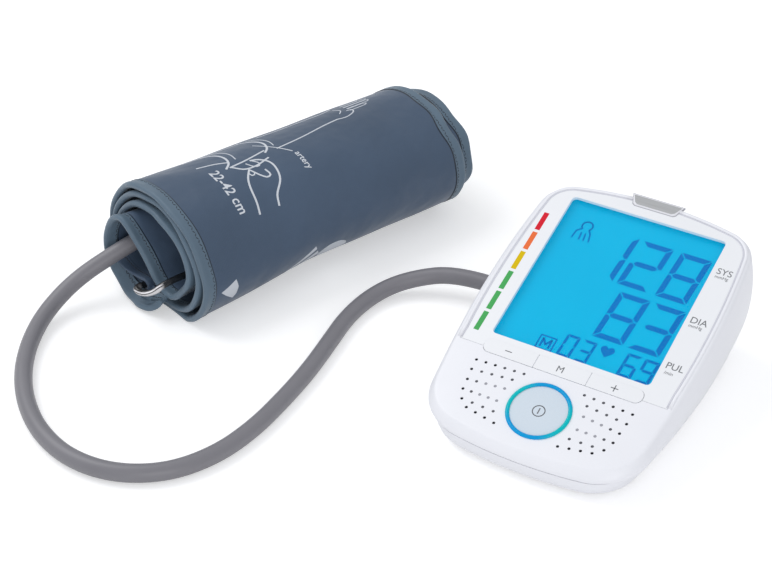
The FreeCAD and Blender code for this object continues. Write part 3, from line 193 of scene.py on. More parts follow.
# %% Moulded and rolled surfaces
def moulded(name, colour, roughness=0.4, grain=3500.0, depth=0.02 * MM, drift=0.02, coat=0.0,
            metallic=0.0, specular=0.5, glow=0.0):
    """A moulded or rolled surface: slow colour drift, fine grain, worn patches in its gloss."""
    material, tree, shader = new_material(name)
    where = tree.nodes.new("ShaderNodeTexCoord")
    slow = noise_node(tree, where, 45.0, 3.0)
    low = [max(0.0, c * (1 - drift)) for c in colour]
    high = [min(1.0, c * (1 + drift)) for c in colour]
    tone = ramp_node(tree, slow, "Fac", low, high)
    wire(tree, tone, "Color", shader, "Base Color")
    fine = noise_node(tree, where, grain, 1.0)
    bump_node(tree, fine, "Fac", shader, depth, 0.5)
    worn = range_node(tree, slow, "Fac", low=max(0.02, roughness - 0.05),
                      high=min(1.0, roughness + 0.05))
    wire(tree, worn, "Result", shader, "Roughness")
    tune(shader, {"Metallic": metallic, "Specular IOR Level": specular, "Coat Weight": coat,
                  "Coat Roughness": 0.08})
    if glow:
        tune(shader, {"Emission Color": tuple(colour), "Emission Strength": glow})
    return material

# %% Outer plastics and rubber
WHITE = moulded("white_satin_shell", (0.85, 0.855, 0.90), 0.38, drift=0.006, depth=0.012 * MM)
WHITE_PLATE = moulded("white_satin_plate", (0.86, 0.87, 0.90), 0.32, drift=0.006,
                      depth=0.008 * MM)
KEY_WHITE = moulded("white_key_caps", (0.85, 0.86, 0.89), 0.34, drift=0.006, depth=0.008 * MM)
SILVER_DISC = moulded("silver_blue_button", (0.62, 0.70, 0.78), 0.30, drift=0.01, coat=0.3)
RUBBER_BLACK = moulded("black_foot_rubber", (0.03, 0.03, 0.032), 0.75, depth=0.05 * MM, drift=0.1)
SOCKET_GREY = moulded("grey_socket_plastic", (0.42, 0.43, 0.46), 0.42, drift=0.03)
PLUG_GREY = moulded("grey_plug_plastic", (0.17, 0.168, 0.185), 0.42, drift=0.04)
HOSE_GREY = moulded("grey_soft_hose", (0.205, 0.20, 0.22), 0.42, drift=0.03, depth=0.01 * MM)
INK_GREY = moulded("grey_print", (0.16, 0.165, 0.18), 0.5, drift=0.03)
hose.data.materials.append(HOSE_GREY)

# %% Metals
ZINC = moulded("zinc_plated_steel", (0.56, 0.57, 0.60), 0.32, metallic=1.0, drift=0.06)
STEEL_CAN = moulded("drawn_steel_can", (0.50, 0.51, 0.53), 0.28, metallic=1.0, drift=0.05)
NICKEL = moulded("nickel_plate", (0.66, 0.64, 0.60), 0.24, metallic=1.0, drift=0.04)
COPPER = moulded("copper_winding", (0.72, 0.32, 0.16), 0.35, metallic=1.0, drift=0.1, grain=1800)

# %% Plastics, resins and films inside the case and the cuff
BOARD_GREEN = moulded("green_solder_mask", (0.01, 0.10, 0.035), 0.35, drift=0.1, coat=0.4)
CHIP_BLACK = moulded("black_chip_resin", (0.02, 0.02, 0.022), 0.5, drift=0.1)
SPEAKER_BLACK = moulded("black_speaker_plastic", (0.015, 0.015, 0.017), 0.5, drift=0.1)
PAPER_CONE = moulded("black_paper_cone", (0.03, 0.028, 0.026), 0.9, depth=0.06 * MM, drift=0.2)
VALVE_WHITE = moulded("ivory_nylon", (0.70, 0.69, 0.63), 0.45, drift=0.03)
SILICONE = moulded("clear_grey_silicone", (0.62, 0.64, 0.64), 0.4, drift=0.03)
CELL_JACKET = moulded("printed_cell_jacket", (0.035, 0.055, 0.09), 0.25, coat=0.6, drift=0.08)
BLADDER_FILM = moulded("grey_bladder_film", (0.25, 0.26, 0.28), 0.35, drift=0.04)
LIGHT_GUIDE = moulded("clear_light_guide", (0.62, 0.80, 0.90), 0.15, drift=0.02)
CONTACT_STRIP = moulded("striped_contact_rubber", (0.05, 0.05, 0.055), 0.7, drift=0.3)
print("finishes:", len(bpy.data.materials))

# %% [markdown]
# ## Smooth skins
# The CAD pieces come as loose triangles. Where a curved shell shows, a merged copy is shaded
# smooth, with its real edges kept sharp, and stands for the CAD piece. Modelling the shells
# again would risk a gap at every seam. A copy has exactly the same size.

def body_of(node):
    for body, members in frame["record"]["behaviour"]["bodies"].items():
        if node in members:
            return body

def dress(piece, material):
    piece.data.materials.clear()
    piece.data.materials.append(material)

def adopt(piece, body, material, replaced=()):
    """Gives a finished piece its body, its finish and the CAD pieces that it stands for."""
    dress(piece, material)
    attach(piece, body)
    if replaced:
        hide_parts(*replaced)

# %% Smooth copies
WELD, SLIVER = 0.002 * MM, 0.0005 * MM

def smooth_copy(node, material, sharp=28.0):
    """A welded copy of a CAD piece, shaded smooth between edges of a sharp angle in degrees."""
    mesh = NODES[node].data.copy()
    mesh.name = node + "_skin"
    work = bmesh.new()
    work.from_mesh(mesh)
    bmesh.ops.remove_doubles(work, verts=work.verts, dist=WELD)
    bmesh.ops.dissolve_degenerate(work, edges=work.edges, dist=SLIVER)
    for face in work.faces:
        face.smooth = True
    for edge in work.edges:
        if len(edge.link_faces) == 2:
            edge.smooth = edge.calc_face_angle(0.0) < math.radians(sharp)
    work.to_mesh(mesh)
    work.free()
    piece = bpy.data.objects.new(node + "_skin", mesh)
    scene.collection.objects.link(piece)
    adopt(piece, body_of(node), material, [node])

SKINS = {"upper_housing": WHITE, "lower_housing": WHITE, "battery_door": WHITE,
         "display_frame": WHITE_PLATE, "minus_key": KEY_WHITE, "memory_key": KEY_WHITE,
         "plus_key": KEY_WHITE, "power_button": SILVER_DISC, "rubber_feet": RUBBER_BLACK,
         "air_socket": SOCKET_GREY, "air_plug": PLUG_GREY,
         "batteries": CELL_JACKET, "battery_contacts": NICKEL}
for node, material in SKINS.items():
    smooth_copy(node, material)
print("smooth skins:", len(SKINS))

# %% Materials of the inner pieces
INNER = {"backlight_guide": LIGHT_GUIDE, "lcd_contact_strip": CONTACT_STRIP,
         "main_board": BOARD_GREEN, "board_parts": CHIP_BLACK, "board_screws": ZINC,
         "tact_switches": CHIP_BLACK, "pressure_sensor": CHIP_BLACK, "housing_screws": ZINC,
         "speaker_basket": SPEAKER_BLACK, "speaker_magnet": ZINC, "speaker_cone": PAPER_CONE,
         "pump_motor": STEEL_CAN, "pump_head": SPEAKER_BLACK, "pump_rotor": COPPER,
         "valve_body": VALVE_WHITE, "valve_plunger": ZINC, "air_tee": VALVE_WHITE,
         "air_tubes": SILICONE, "hose_nipple": PLUG_GREY, "cuff_bladder": BLADDER_FILM}
for node, material in INNER.items():
    dress(NODES[node], material)

# %% [markdown]
# ## The face of the unit
# The display, keys and prints lie on one plane, tilted 19.3 degrees from the table.
# face_point turns a place on that plane (u right, v up the face, w out of it) into the frame.

# %% Face frame
TILT = math.radians(19.3)
FACE_ORIGIN = BASE + Vector((0.0, 17.0, 42.7)) * MM
FACE_U = Vector((1.0, 0.0, 0.0))
FACE_V = Vector((0.0, math.cos(TILT), math.sin(TILT)))
FACE_W = Vector((0.0, -math.sin(TILT), math.cos(TILT)))
KEY_ROW, BUTTON_ROW = -45.2, -66.2      # heights of the keys and of the power button on the face

def face_point(u, v, w=0.0):
    """A point of the face frame, given in millimetres, in metres of the part's frame."""
    return FACE_ORIGIN + (FACE_U * u + FACE_V * v + FACE_W * w) * MM

def face_spot(point):
    """The place (u, v, w) on the face, in millimetres, of a point of the part's frame."""
    off = (point - FACE_ORIGIN) / MM
    return off.dot(FACE_U), off.dot(FACE_V), off.dot(FACE_W)

# %% Meshes from points
def mesh_piece(name, points, faces, smooth=False):
    mesh = bpy.data.meshes.new(name)
    mesh.from_pydata([tuple(p) for p in points], [], faces)
    mesh.validate()
    mesh.update()
    for polygon in mesh.polygons:
        polygon.use_smooth = smooth
    piece = bpy.data.objects.new(name, mesh)
    scene.collection.objects.link(piece)
    return piece

def mend_normals(piece, sharp=None):
    """Turns all faces outward, and keeps edges sharp from an angle in degrees."""
    work = bmesh.new()
    work.from_mesh(piece.data)
    bmesh.ops.recalc_face_normals(work, faces=work.faces)
    if sharp is not None:
        for edge in work.edges:
            edge.smooth = edge.calc_face_angle(0.0) < math.radians(sharp)
    work.to_mesh(piece.data)
    work.free()

# %% Faces between loops of points
def loop_faces(a, b, count, flip=False):
    """Quads between two loops of points, whose first points have the numbers a and b."""
    pairs = [(i, (i + 1) % count) for i in range(count)]
    if flip:
        return [(a + i, b + i, b + j, a + j) for i, j in pairs]
    return [(a + i, a + j, b + j, b + i) for i, j in pairs]

def cap(first, count, flip=False):
    """One face over a whole loop of points."""
    numbers = reversed(range(count)) if flip else range(count)
    return tuple(first + i for i in numbers)

def slabs(name, outlines, low, high, place=face_point):
    """Thin plates of the given outlines (counter-clockwise), from depth low to depth high."""
    points, faces = [], []
    for outline in outlines:
        first, count = len(points), len(outline)
        points += [place(u, v, depth) for depth in (low, high) for u, v in outline]
        faces += [cap(first, count, flip=True), cap(first + count, count)]
        faces += loop_faces(first, first + count, count)
    return mesh_piece(name, points, faces)

# %% [markdown]
# ## The liquid crystal display
# The glass is backlit in an even cyan. Dark digits lie in the glass: seven bars each, with
# mitred ends and a slight slant. The digits could be a picture on the glass, but thin plates
# stay sharp from near. One function draws any digit from the bars it lights.

# %% Lit glass
LCD_TOP = -3.4      # top of the glass, under the face

def lit_glass():
    material, tree, shader = new_material("backlit_cyan_glass")
    where = tree.nodes.new("ShaderNodeTexCoord")
    slow = noise_node(tree, where, 25.0, 2.0)
    tone = ramp_node(tree, slow, "Fac", (0.0, 0.27, 0.46), (0.0, 0.29, 0.48), 0.35, 0.65)
    wire(tree, tone, "Color", shader, "Base Color")
    tune(shader, {"Roughness": 0.6, "Specular IOR Level": 0.02,
                  "Emission Color": (0.0, 0.46, 0.76), "Emission Strength": 0.45})
    return material

dress(NODES["lcd_panel"], lit_glass())

# %% Seven-bar digits
LIT_BARS = {"0": "abcdef", "1": "bc", "2": "abged", "3": "abgcd", "6": "afgedc", "8": "abcdefg",
            "9": "abcdfg"}

def digit_bars(digit, left, foot, width, height, thick, gap, slant=0.06):
    """Outlines of the lit bars of one digit, slanted to the right towards the top."""
    half, mid, wide, tall = thick / 2, height / 2, width, height
    low, high = mid - gap, mid + gap
    corner = thick + gap
    bars = {
        "a": [(corner, tall - thick), (wide - corner, tall - thick), (wide - gap, tall),
              (gap, tall)],
        "b": [(wide - thick, high + half), (wide - half, high), (wide, high), (wide, tall - gap),
              (wide - thick, tall - corner)],
        "c": [(wide - thick, corner), (wide, gap), (wide, low), (wide - half, low),
              (wide - thick, low - half)],
        "d": [(gap, 0), (wide - gap, 0), (wide - corner, thick), (corner, thick)],
        "e": [(0, gap), (thick, corner), (thick, low - half), (half, low), (0, low)],
        "f": [(0, high), (half, high), (thick, high + half), (thick, tall - corner),
              (0, tall - gap)],
        "g": [(half + gap, mid), (corner, mid - half), (wide - corner, mid - half),
              (wide - half - gap, mid), (wide - corner, mid + half), (corner, mid + half)]}
    return [[(left + x + slant * y, foot + y) for x, y in bars[bar]] for bar in LIT_BARS[digit]]

# %% Arcs and strokes
def arc_points(x, y, radius, start, end, steps=20):
    angles = [math.radians(start + (end - start) * i / steps) for i in range(steps + 1)]
    return [(x + radius * math.cos(a), y + radius * math.sin(a)) for a in angles]

def stroke(points, width, closed=False):
    """Outlines of short slabs that follow a polyline, one for each of its stretches."""
    outlines = []
    after = points[1:] + points[:1] if closed else points[1:]
    for (x0, y0), (x1, y1) in zip(points, after):
        length = math.hypot(x1 - x0, y1 - y0)
        if length < 1e-9:
            continue
        dx, dy = (x1 - x0) / length, (y1 - y0) / length
        px, py, over = -dy * width / 2, dx * width / 2, width * 0.2
        outlines.append([(x0 - dx * over - px, y0 - dy * over - py),
                         (x1 + dx * over - px, y1 + dy * over - py),
                         (x1 + dx * over + px, y1 + dy * over + py),
                         (x0 - dx * over + px, y0 - dy * over + py)])
    return outlines

# %% Digits on the glass
big = dict(width=13.7, height=24.6, thick=2.45, gap=0.36)
tall = dict(big, height=25.5)
small = dict(width=5.9, height=11.2, thick=1.2, slant=0.05, gap=0.17)
pulse = dict(width=6.4, height=11.7, thick=1.3, slant=0.05, gap=0.17)
DIGITS = [("1", -15.4, 4.8, tall), ("2", 0.2, 5.0, big), ("8", 17.3, 5.0, big),
          ("8", 2.2, -23.0, big), ("3", 17.7, -23.0, big),
          ("0", -7.4, -37.0, small), ("3", 0.0, -37.0, small),
          ("6", 19.0, -37.0, pulse), ("9", 26.6, -37.0, pulse)]
shapes = []
for digit, left, foot, kind in DIGITS:
    shapes += digit_bars(digit, left, foot, **kind)

# %% Signs on the glass
MEMORY_BOX = [(-16.7, -36.8), (-9.8, -36.8), (-9.8, -30.2), (-16.7, -30.2)]
MEMORY_M = [(-15.1, -35.6), (-15.1, -31.5), (-13.25, -34.2), (-11.4, -31.5), (-11.4, -35.6)]
HEART_U, HEART_V, HEART_WIDE, HEART_SCALE = 11.4, -28.0, 3.0, 0.2
FIGURE_U, FIGURE_V, FIGURE_HEAD, FIGURE_LINE = -23.7, 28.2, 2.35, 0.72
FIGURE_LIMBS = [[(-1.5, -1.8), (-3.5, -3.6), (-3.9, -7.8)], [(1.5, -1.8), (3.0, -3.8), (3.9, -7.8)],
                [(-1.0, -4.0), (-0.6, -7.8)], [(0.9, -4.0), (1.5, -7.8)]]

def heart_point(a):
    rise = 13 * math.cos(a) - 5 * math.cos(2 * a) - 2 * math.cos(3 * a) - math.cos(4 * a)
    return HEART_U + HEART_WIDE * math.sin(a) ** 3, HEART_V + HEART_SCALE * rise

shapes += stroke(MEMORY_BOX, 0.65, closed=True) + stroke(MEMORY_M, 0.9)
shapes.append([heart_point(2 * math.pi * i / 40) for i in reversed(range(40))])
shapes += stroke(arc_points(FIGURE_U, FIGURE_V, FIGURE_HEAD, -50, 230), FIGURE_LINE)
for limb in FIGURE_LIMBS:
    shapes += stroke([(FIGURE_U + x, FIGURE_V + y) for x, y in limb], FIGURE_LINE)
LCD_INK = moulded("dark_blue_segments", (0.0, 0.17, 0.52), 0.6, drift=0.02, specular=0.02,
                  glow=0.12)
segments = slabs("display_segments", shapes, LCD_TOP + 0.01, LCD_TOP + 0.07)
adopt(segments, "monitor", LCD_INK)
print("display bars and signs:", len(shapes))

# %% [markdown]
# ## The clear window
# A thin acrylic sheet lies over the glass. Light passes straight through it, and only its
# sheen shows. A refracting glass would need many more light bounces, for a sheet this thin. A
# mix of a transparent and a glossy shader, by how much the sheet faces the eye, does it cleanly.

# %% Clear window
def clear_acrylic():
    material, tree, shader = new_material("clear_acrylic")
    tree.nodes.remove(shader)
    sheen = tree.nodes.new("ShaderNodeBsdfGlossy")
    tune(sheen, {"Roughness": 0.06})
    where = tree.nodes.new("ShaderNodeTexCoord")
    smear = noise_node(tree, where, 60.0, 2.0)
    bump_node(tree, smear, "Fac", sheen, 0.002 * MM, 0.3)
    clear = tree.nodes.new("ShaderNodeBsdfTransparent")
    # Facing is the same from both sides of the sheet, so the glass stays clear at a low angle.
    slant = tree.nodes.new("ShaderNodeLayerWeight")
    tune(slant, {"Blend": 0.03})
    mix = tree.nodes.new("ShaderNodeMixShader")
    wire(tree, slant, "Facing", mix, "Fac")
    wire(tree, clear, "BSDF", mix, 1)
    wire(tree, sheen, "BSDF", mix, 2)
    wire(tree, mix, "Shader", tree.nodes["Material Output"], "Surface")
    return material

dress(NODES["display_window"], clear_acrylic())

# %% [markdown]
# ## Prints on the face
# The plate carries a scale of six coloured bars and grey labels. Printed ink is a very thin
# layer, so each print is a slab a few hundredths of a millimetre high on the plate.
# Painted textures would blur from near. Words start as text objects, become meshes, and are
# laid on the face, and the signs of the keys ride with their keys.

# %% Coloured scale
# Name, colour and rows of each print, from the foot of the scale upward.
SCALE = [("green_print", (0.07, 0.40, 0.11), (0, 1, 2)), ("yellow_print", (0.70, 0.49, 0.0), (3,)),
         ("orange_print", (0.84, 0.17, 0.05), (4,)), ("red_print", (0.68, 0.012, 0.03), (5,))]
BAR_PITCH, BAR_TALL, BAR_FOOT, BAR_LEFT, BAR_RIGHT = 11.32, 9.9, -40.2, -42.7, -40.4
for name, colour, rows in SCALE:
    feet = [BAR_FOOT + row * BAR_PITCH for row in rows]
    bars = [[(BAR_LEFT, foot), (BAR_RIGHT, foot), (BAR_RIGHT, foot + BAR_TALL),
             (BAR_LEFT, foot + BAR_TALL)] for foot in feet]
    adopt(slabs("scale_" + name, bars, -0.02, 0.03), "monitor",
          moulded(name, colour, 0.6, drift=0.03, specular=0.15))

# %% One word as a mesh
def word_mesh(text, size, spacing, weight):
    """Flat mesh of a word, with its lower left corner at the origin, in millimetres."""
    data = bpy.data.curves.new("word", "FONT")
    data.offset = weight
    data.body, data.size, data.space_character = text, size, spacing
    data.resolution_u = 4
    data.extrude = 0.02
    holder = bpy.data.objects.new("word", data)
    scene.collection.objects.link(holder)
    bpy.context.view_layer.update()
    seen = bpy.context.evaluated_depsgraph_get()
    mesh = bpy.data.meshes.new_from_object(holder.evaluated_get(seen))
    bpy.data.objects.remove(holder)
    left = min(v.co.x for v in mesh.vertices)
    foot = min(v.co.y for v in mesh.vertices)
    for vertex in mesh.vertices:
        vertex.co.x -= left
        vertex.co.y -= foot
    return mesh

# %% Words laid on a surface
CAP_SHARE = 0.7     # height of a capital letter, as a share of the letter size
WORD_LIFT = 0.02    # middle of the letters over the surface, in millimetres

def print_words(name, words, place, body, material, weight=0.0):
    """One piece of many words: (text, left, foot, cap height, spacing) each."""
    work = bmesh.new()
    for text, left, foot, tall, spacing in words:
        mesh = word_mesh(text, tall / CAP_SHARE, spacing, weight)
        for vertex in mesh.vertices:
            vertex.co = place(left + vertex.co.x, foot + vertex.co.y, WORD_LIFT + vertex.co.z)
        work.from_mesh(mesh)
    mesh = bpy.data.meshes.new(name)
    bmesh.ops.remove_doubles(work, verts=work.verts, dist=1e-7)
    work.to_mesh(mesh)
    work.free()
    piece = bpy.data.objects.new(name, mesh)
    scene.collection.objects.link(piece)
    adopt(piece, body, material)

labels = [("SYS", 37.0, 22.2, 3.1, 1.0), ("mmHg", 37.2, 19.6, 1.5, 1.0),
          ("DIA", 37.0, -4.5, 3.1, 1.0), ("mmHg", 37.2, -7.1, 1.5, 1.0),
          ("PUL", 37.0, -28.5, 3.1, 1.0), ("/min", 37.4, -31.2, 1.5, 1.0)]
print_words("plate_labels", labels, face_point, "monitor", INK_GREY)

# %% Signs on the keys and the button
KEY_LIFT, SIGN_LINE = 0.25, 0.42        # top of the keys over the face, width of a sign's line

def key_place(u, v, w):
    return face_point(u, v, w + KEY_LIFT)

def key_sign(name, key, strokes):
    sign = slabs(name, strokes, KEY_LIFT - 0.02, KEY_LIFT + 0.03)
    adopt(sign, key, INK_GREY)

print_words("memory_key_sign", [("M", -2.1, KEY_ROW - 1.4, 3.0, 1.0)], key_place, "memory_key",
            INK_GREY)
key_sign("minus_key_sign", "minus_key", stroke([(-25.3, KEY_ROW), (-22.5, KEY_ROW)], SIGN_LINE))
key_sign("plus_key_sign", "plus_key",
         stroke([(21.4, KEY_ROW), (24.4, KEY_ROW)], SIGN_LINE)
         + stroke([(22.9, KEY_ROW - 1.5), (22.9, KEY_ROW + 1.5)], SIGN_LINE))
power = stroke(arc_points(0, BUTTON_ROW, 2.5, 0, 360, 40), SIGN_LINE)
power += stroke([(0, BUTTON_ROW - 1.3), (0, BUTTON_ROW + 1.3)], 0.5)
adopt(slabs("power_sign", power, 0.08, 0.14), "power_button", INK_GREY)

# %% [markdown]
# ## The webs between the keys
# The three keys are one strip of soft caps with thin webs between them. The webs are two narrow
# plates, a little deeper in tone than the plate: that tone is painted shade, because a gap that
# narrow reads as a soft line.

# %% Webs between the keys
WEB_PLACE, WEB_HALF, WEB_FOOT, WEB_TOP = 11.6, 0.14, -48.2, -42.0
webs = [[(u - WEB_HALF, WEB_FOOT), (u + WEB_HALF, WEB_FOOT), (u + WEB_HALF, WEB_TOP),
         (u - WEB_HALF, WEB_TOP)] for u in (-WEB_PLACE, WEB_PLACE)]
# The webs' grey is painted shade of the narrow gaps between the keys.
WEB_PAINTED_SHADE = moulded("key_webs_painted_shade", (0.70, 0.71, 0.75), 0.5, drift=0.02)
adopt(slabs("key_webs", webs, -0.6, 0.05), "monitor", WEB_PAINTED_SHADE)

# %% [markdown]
# ## The sound holes
# The sound holes aren't all alike: the outer ones go through to a dark space, and the inner
# ones are shallow dimples. A disc a little way down each hole stands for that with painted shade,
# darkest in the outer holes. Each disc could be made by hand; Geometry Nodes copies one disc to
# every point, and turns it to the point's direction, so one number changes all of them.

# %% Copies on points
def named_attribute(tree, name, kind):
    node = tree.nodes.new("GeometryNodeInputNamedAttribute")
    node.data_type = kind
    node.inputs["Name"].default_value = name
    return node

def copies_tree(name, inputs, output, direction, axis):
    """Geometry Nodes: a shape on every point, with one axis turned to the point's direction.

    Gives back the tree, its inputs by title, its first node, and the node that takes a shape.
    """
    tree = bpy.data.node_groups.new(name, "GeometryNodeTree")
    sockets = {title: tree.interface.new_socket(name=title, in_out="INPUT",
                                                socket_type="NodeSocket" + kind)
               for title, kind in inputs}
    tree.interface.new_socket(name=output, in_out="OUTPUT", socket_type="NodeSocketGeometry")
    make = tree.nodes.new
    entry, leave = make("NodeGroupInput"), make("NodeGroupOutput")
    heading = named_attribute(tree, direction, "FLOAT_VECTOR")
    turn = make("FunctionNodeAlignRotationToVector")
    turn.axis = axis
    place, solid = make("GeometryNodeInstanceOnPoints"), make("GeometryNodeRealizeInstances")
    finish = make("GeometryNodeSetMaterial")
    wire(tree, heading, "Attribute", turn, "Vector")
    wire(tree, entry, "Points", place, "Points")
    wire(tree, turn, "Rotation", place, "Rotation")
    wire(tree, place, "Instances", solid, "Geometry")
    wire(tree, solid, "Geometry", finish, "Geometry")
    wire(tree, entry, inputs[-1][0], finish, "Material")
    wire(tree, finish, "Geometry", leave, output)
    return tree, sockets, entry, place

# %% Results as plain pieces
def mark_points(holder, name, kind, field, values):
    """Keeps numbers for every point of a holder, under a name."""
    holder.data.attributes.new(name, kind, "POINT").data.foreach_set(field, values)

def grow(name, holder, tree, sockets, values):
    """Runs a Geometry Nodes tree on a holder, and keeps its result as a plain mesh piece."""
    modifier = holder.modifiers.new("grow", "NODES")
    modifier.node_group = tree
    for title, value in values.items():
        modifier[sockets[title].identifier] = value
    holder.update_tag()
    seen = bpy.context.evaluated_depsgraph_get()
    mesh = bpy.data.meshes.new_from_object(holder.evaluated_get(seen))
    mesh.name = name
    holder.modifiers.clear()
    bpy.data.objects.remove(holder)
    piece = bpy.data.objects.new(name, mesh)
    scene.collection.objects.link(piece)
    return piece

# %% Disc tree
HOLE_RADIUS, DISC_THICK, DISC_SIDES = 0.66 * MM, 0.1 * MM, 20

def disc_tree(name):
    """Geometry Nodes: a flat disc across the direction of every point."""
    tree, sockets, entry, place = copies_tree(
        name, [("Points", "Geometry"), ("Disc radius", "Float"), ("Finish", "Material")], "Discs",
        "facing", "Z")
    disc = tree.nodes.new("GeometryNodeMeshCylinder")
    tune(disc, {"Vertices": DISC_SIDES, "Depth": DISC_THICK})
    wire(tree, entry, "Disc radius", disc, "Radius")
    wire(tree, disc, "Mesh", place, "Instance")
    return tree, sockets

# %% Sound holes
# Holes in the row, place of the outermost, height on the face, pitch, drop towards the middle.
HOLE_ROWS = [(6, 34.3, -53.5, 4.2, -0.2), (5, 34.0, -58.4, 4.4, -0.4), (5, 33.3, -63.4, 4.0, -0.4),
             (5, 32.8, -68.2, 3.8, 0.0), (4, 31.0, -72.6, 4.8, 0.2), (4, 27.4, -75.6, 4.5, 0.8)]
# Painted shade of the disc in the hole, and its depth under the face.
HOLE_PAINTED_SHADE_AND_DEPTH = {"deep": ((0.022, 0.022, 0.026), -0.35), "middle": ((0.12, 0.12, 0.135), -0.3),
              "shallow": ((0.36, 0.36, 0.40), -0.16)}

def hole_kind(row, column):
    if column == 0 or row == 5 or (row == 0 and column < 3):
        return "deep"
    return "middle" if row in (0, 1, 4) or column == 1 else "shallow"

hole_places = {kind: [] for kind in HOLE_PAINTED_SHADE_AND_DEPTH}
for row, (count, outer, v, pitch, drop) in enumerate(HOLE_ROWS):
    for column in range(count):
        hole_places[hole_kind(row, column)] += [
            (side * (outer - column * pitch), v - column * drop) for side in (-1, 1)]
discs, disc_sockets = disc_tree("hole_discs")
for kind, (colour, depth) in HOLE_PAINTED_SHADE_AND_DEPTH.items():
    places = hole_places[kind]
    holder = mesh_piece(kind + "_points", [face_point(u, v, depth) for u, v in places], [])
    mark_points(holder, "facing", "FLOAT_VECTOR", "vector", [x for place in places for x in FACE_W])
    # The disc's colour is painted shade, darker for a deeper hole.
    finish = moulded(kind + "_hole_painted_shade", colour, 0.8, drift=0.03, specular=0.1)
    holes = grow(kind + "_holes", holder, discs, disc_sockets,
                 {"Disc radius": HOLE_RADIUS, "Finish": finish})
    adopt(holes, "monitor", finish)
print("sound holes:", {kind: len(places) for kind, places in hole_places.items()})

# %% [markdown]
# ## The light ring
# The ring round the power button is glossy blue plastic, lit from inside: its tone runs from
# deep blue to turquoise around the circle. A section turned about the button's axis gives the
# rounded lip, which a plain ring wouldn't have. The tone follows the angle round that axis.

# %% Plastic of the light ring
def ring_plastic():
    """Blue plastic whose tone swings twice between deep blue and turquoise round the button."""
    material, tree, shader = new_material("blue_light_ring")
    where = tree.nodes.new("ShaderNodeTexCoord")
    centre = tree.nodes.new("ShaderNodeMapping")
    centre.inputs["Location"].default_value = -face_point(0, BUTTON_ROW)
    wire(tree, where, "Object", centre, "Vector")
    split = tree.nodes.new("ShaderNodeSeparateXYZ")
    wire(tree, centre, "Vector", split, "Vector")
    angle = math_node(tree, "ARCTAN2", (split, "Y"), (split, "X"))
    swing = math_node(tree, "MULTIPLY_ADD", (angle, "Value"), 2.0, 1.92)
    wave = math_node(tree, "SINE", (swing, "Value"))
    spread = range_node(tree, wave, "Value", start=-1.0)
    tone = ramp_node(tree, spread, "Result", (0.0, 0.27, 0.58), (0.0, 0.42, 0.45), 0.3, 0.9)
    wire(tree, tone, "Color", shader, "Base Color")
    wire(tree, tone, "Color", shader, "Emission Color")
    tune(shader, {"Emission Strength": 0.2, "Roughness": 0.3, "Specular IOR Level": 0.12,
                  "Coat Weight": 0.12, "Coat Roughness": 0.05})
    return material

# %% Light ring
# A rounded lip laps over the shell and the button's rim: (radius, height) round its section.
RING_SECTION = [(11.6, 0.18), (11.66, 0.5), (11.9, 0.78), (12.3, 0.92), (12.75, 0.86), (13.1, 0.62),
                (13.28, 0.28), (13.3, 0.01), (12.7, 0.01), (12.7, -3.4), (13.7, -3.4), (13.7, -4.0),
                (11.95, -4.0), (11.95, 0.18)]
RING_STEPS, RING_SHARP = 96, 50

def turned_ring(name, section):
    """A closed ring: a section of (radius, height) points turned about the button's axis."""
    points, faces, count = [], [], len(section)
    for step in range(RING_STEPS):
        a = 2 * math.pi * step / RING_STEPS
        points += [face_point(r * math.cos(a), BUTTON_ROW + r * math.sin(a), w) for r, w in section]
        faces += loop_faces(step * count, (step + 1) % RING_STEPS * count, count, flip=True)
    piece = mesh_piece(name, points, faces, smooth=True)
    mend_normals(piece, RING_SHARP)
    return piece

adopt(turned_ring("light_ring", RING_SECTION), "monitor", ring_plastic(),
      ["power_ring"])

# %% [markdown]
# ## The badge plate
# The badge is a bare silver plate with a raised rim, whose pale tone is a painted highlight, set
# in a shallow seat at the plate's top, whose grey is a painted shadow.
# One function builds all three from insets of one outline, so they stay even all round. The
# brushed lines are a noise stretched along the plate.

# %% Badge shape
BADGE_TOP, BADGE_FOOT = 11.6, 9.4           # half widths at the top and at the foot
BADGE_LOW, BADGE_HIGH = 43.5, 49.3          # places of the foot and the top on the face

def badge_outline(inset):
    top, foot = BADGE_TOP - inset, BADGE_FOOT - inset
    low, high = BADGE_LOW + inset, BADGE_HIGH - inset
    return [(-foot + 0.9, low), (foot - 0.9, low), (foot + 0.25, low + 0.8), (top, high),
            (-top, high), (-foot - 0.25, low + 0.8)]

def badge_piece(name, rings, material, replaced=()):
    """A plate of the badge's outline, through rings of (inset, depth) from below to its top."""
    points, count = [], len(badge_outline(0))
    for inset, depth in rings:
        points += [face_point(u, v, depth) for u, v in badge_outline(inset)]
    faces = [cap(0, count, flip=True)]
    for ring in range(len(rings) - 1):
        faces += loop_faces(count * ring, count * (ring + 1), count)
    faces.append(cap(count * (len(rings) - 1), count))
    adopt(mesh_piece(name, points, faces), "monitor", material, replaced)

# %% Brushed silver
def brushed_silver():
    material, tree, shader = new_material("brushed_silver_plate")
    where = tree.nodes.new("ShaderNodeTexCoord")
    stretch = tree.nodes.new("ShaderNodeMapping")
    stretch.inputs["Scale"].default_value = (60.0, 6000.0, 6000.0)
    wire(tree, where, "Object", stretch, "Vector")
    lines = noise_node(tree, stretch, 1.0, 2.0, "Vector")
    tone = ramp_node(tree, lines, "Fac", (0.40, 0.405, 0.41), (0.50, 0.505, 0.515))
    wire(tree, tone, "Color", shader, "Base Color")
    bump_node(tree, lines, "Fac", shader, 0.004 * MM, 0.4)
    tune(shader, {"Metallic": 0.55, "Roughness": 0.38})
    return material
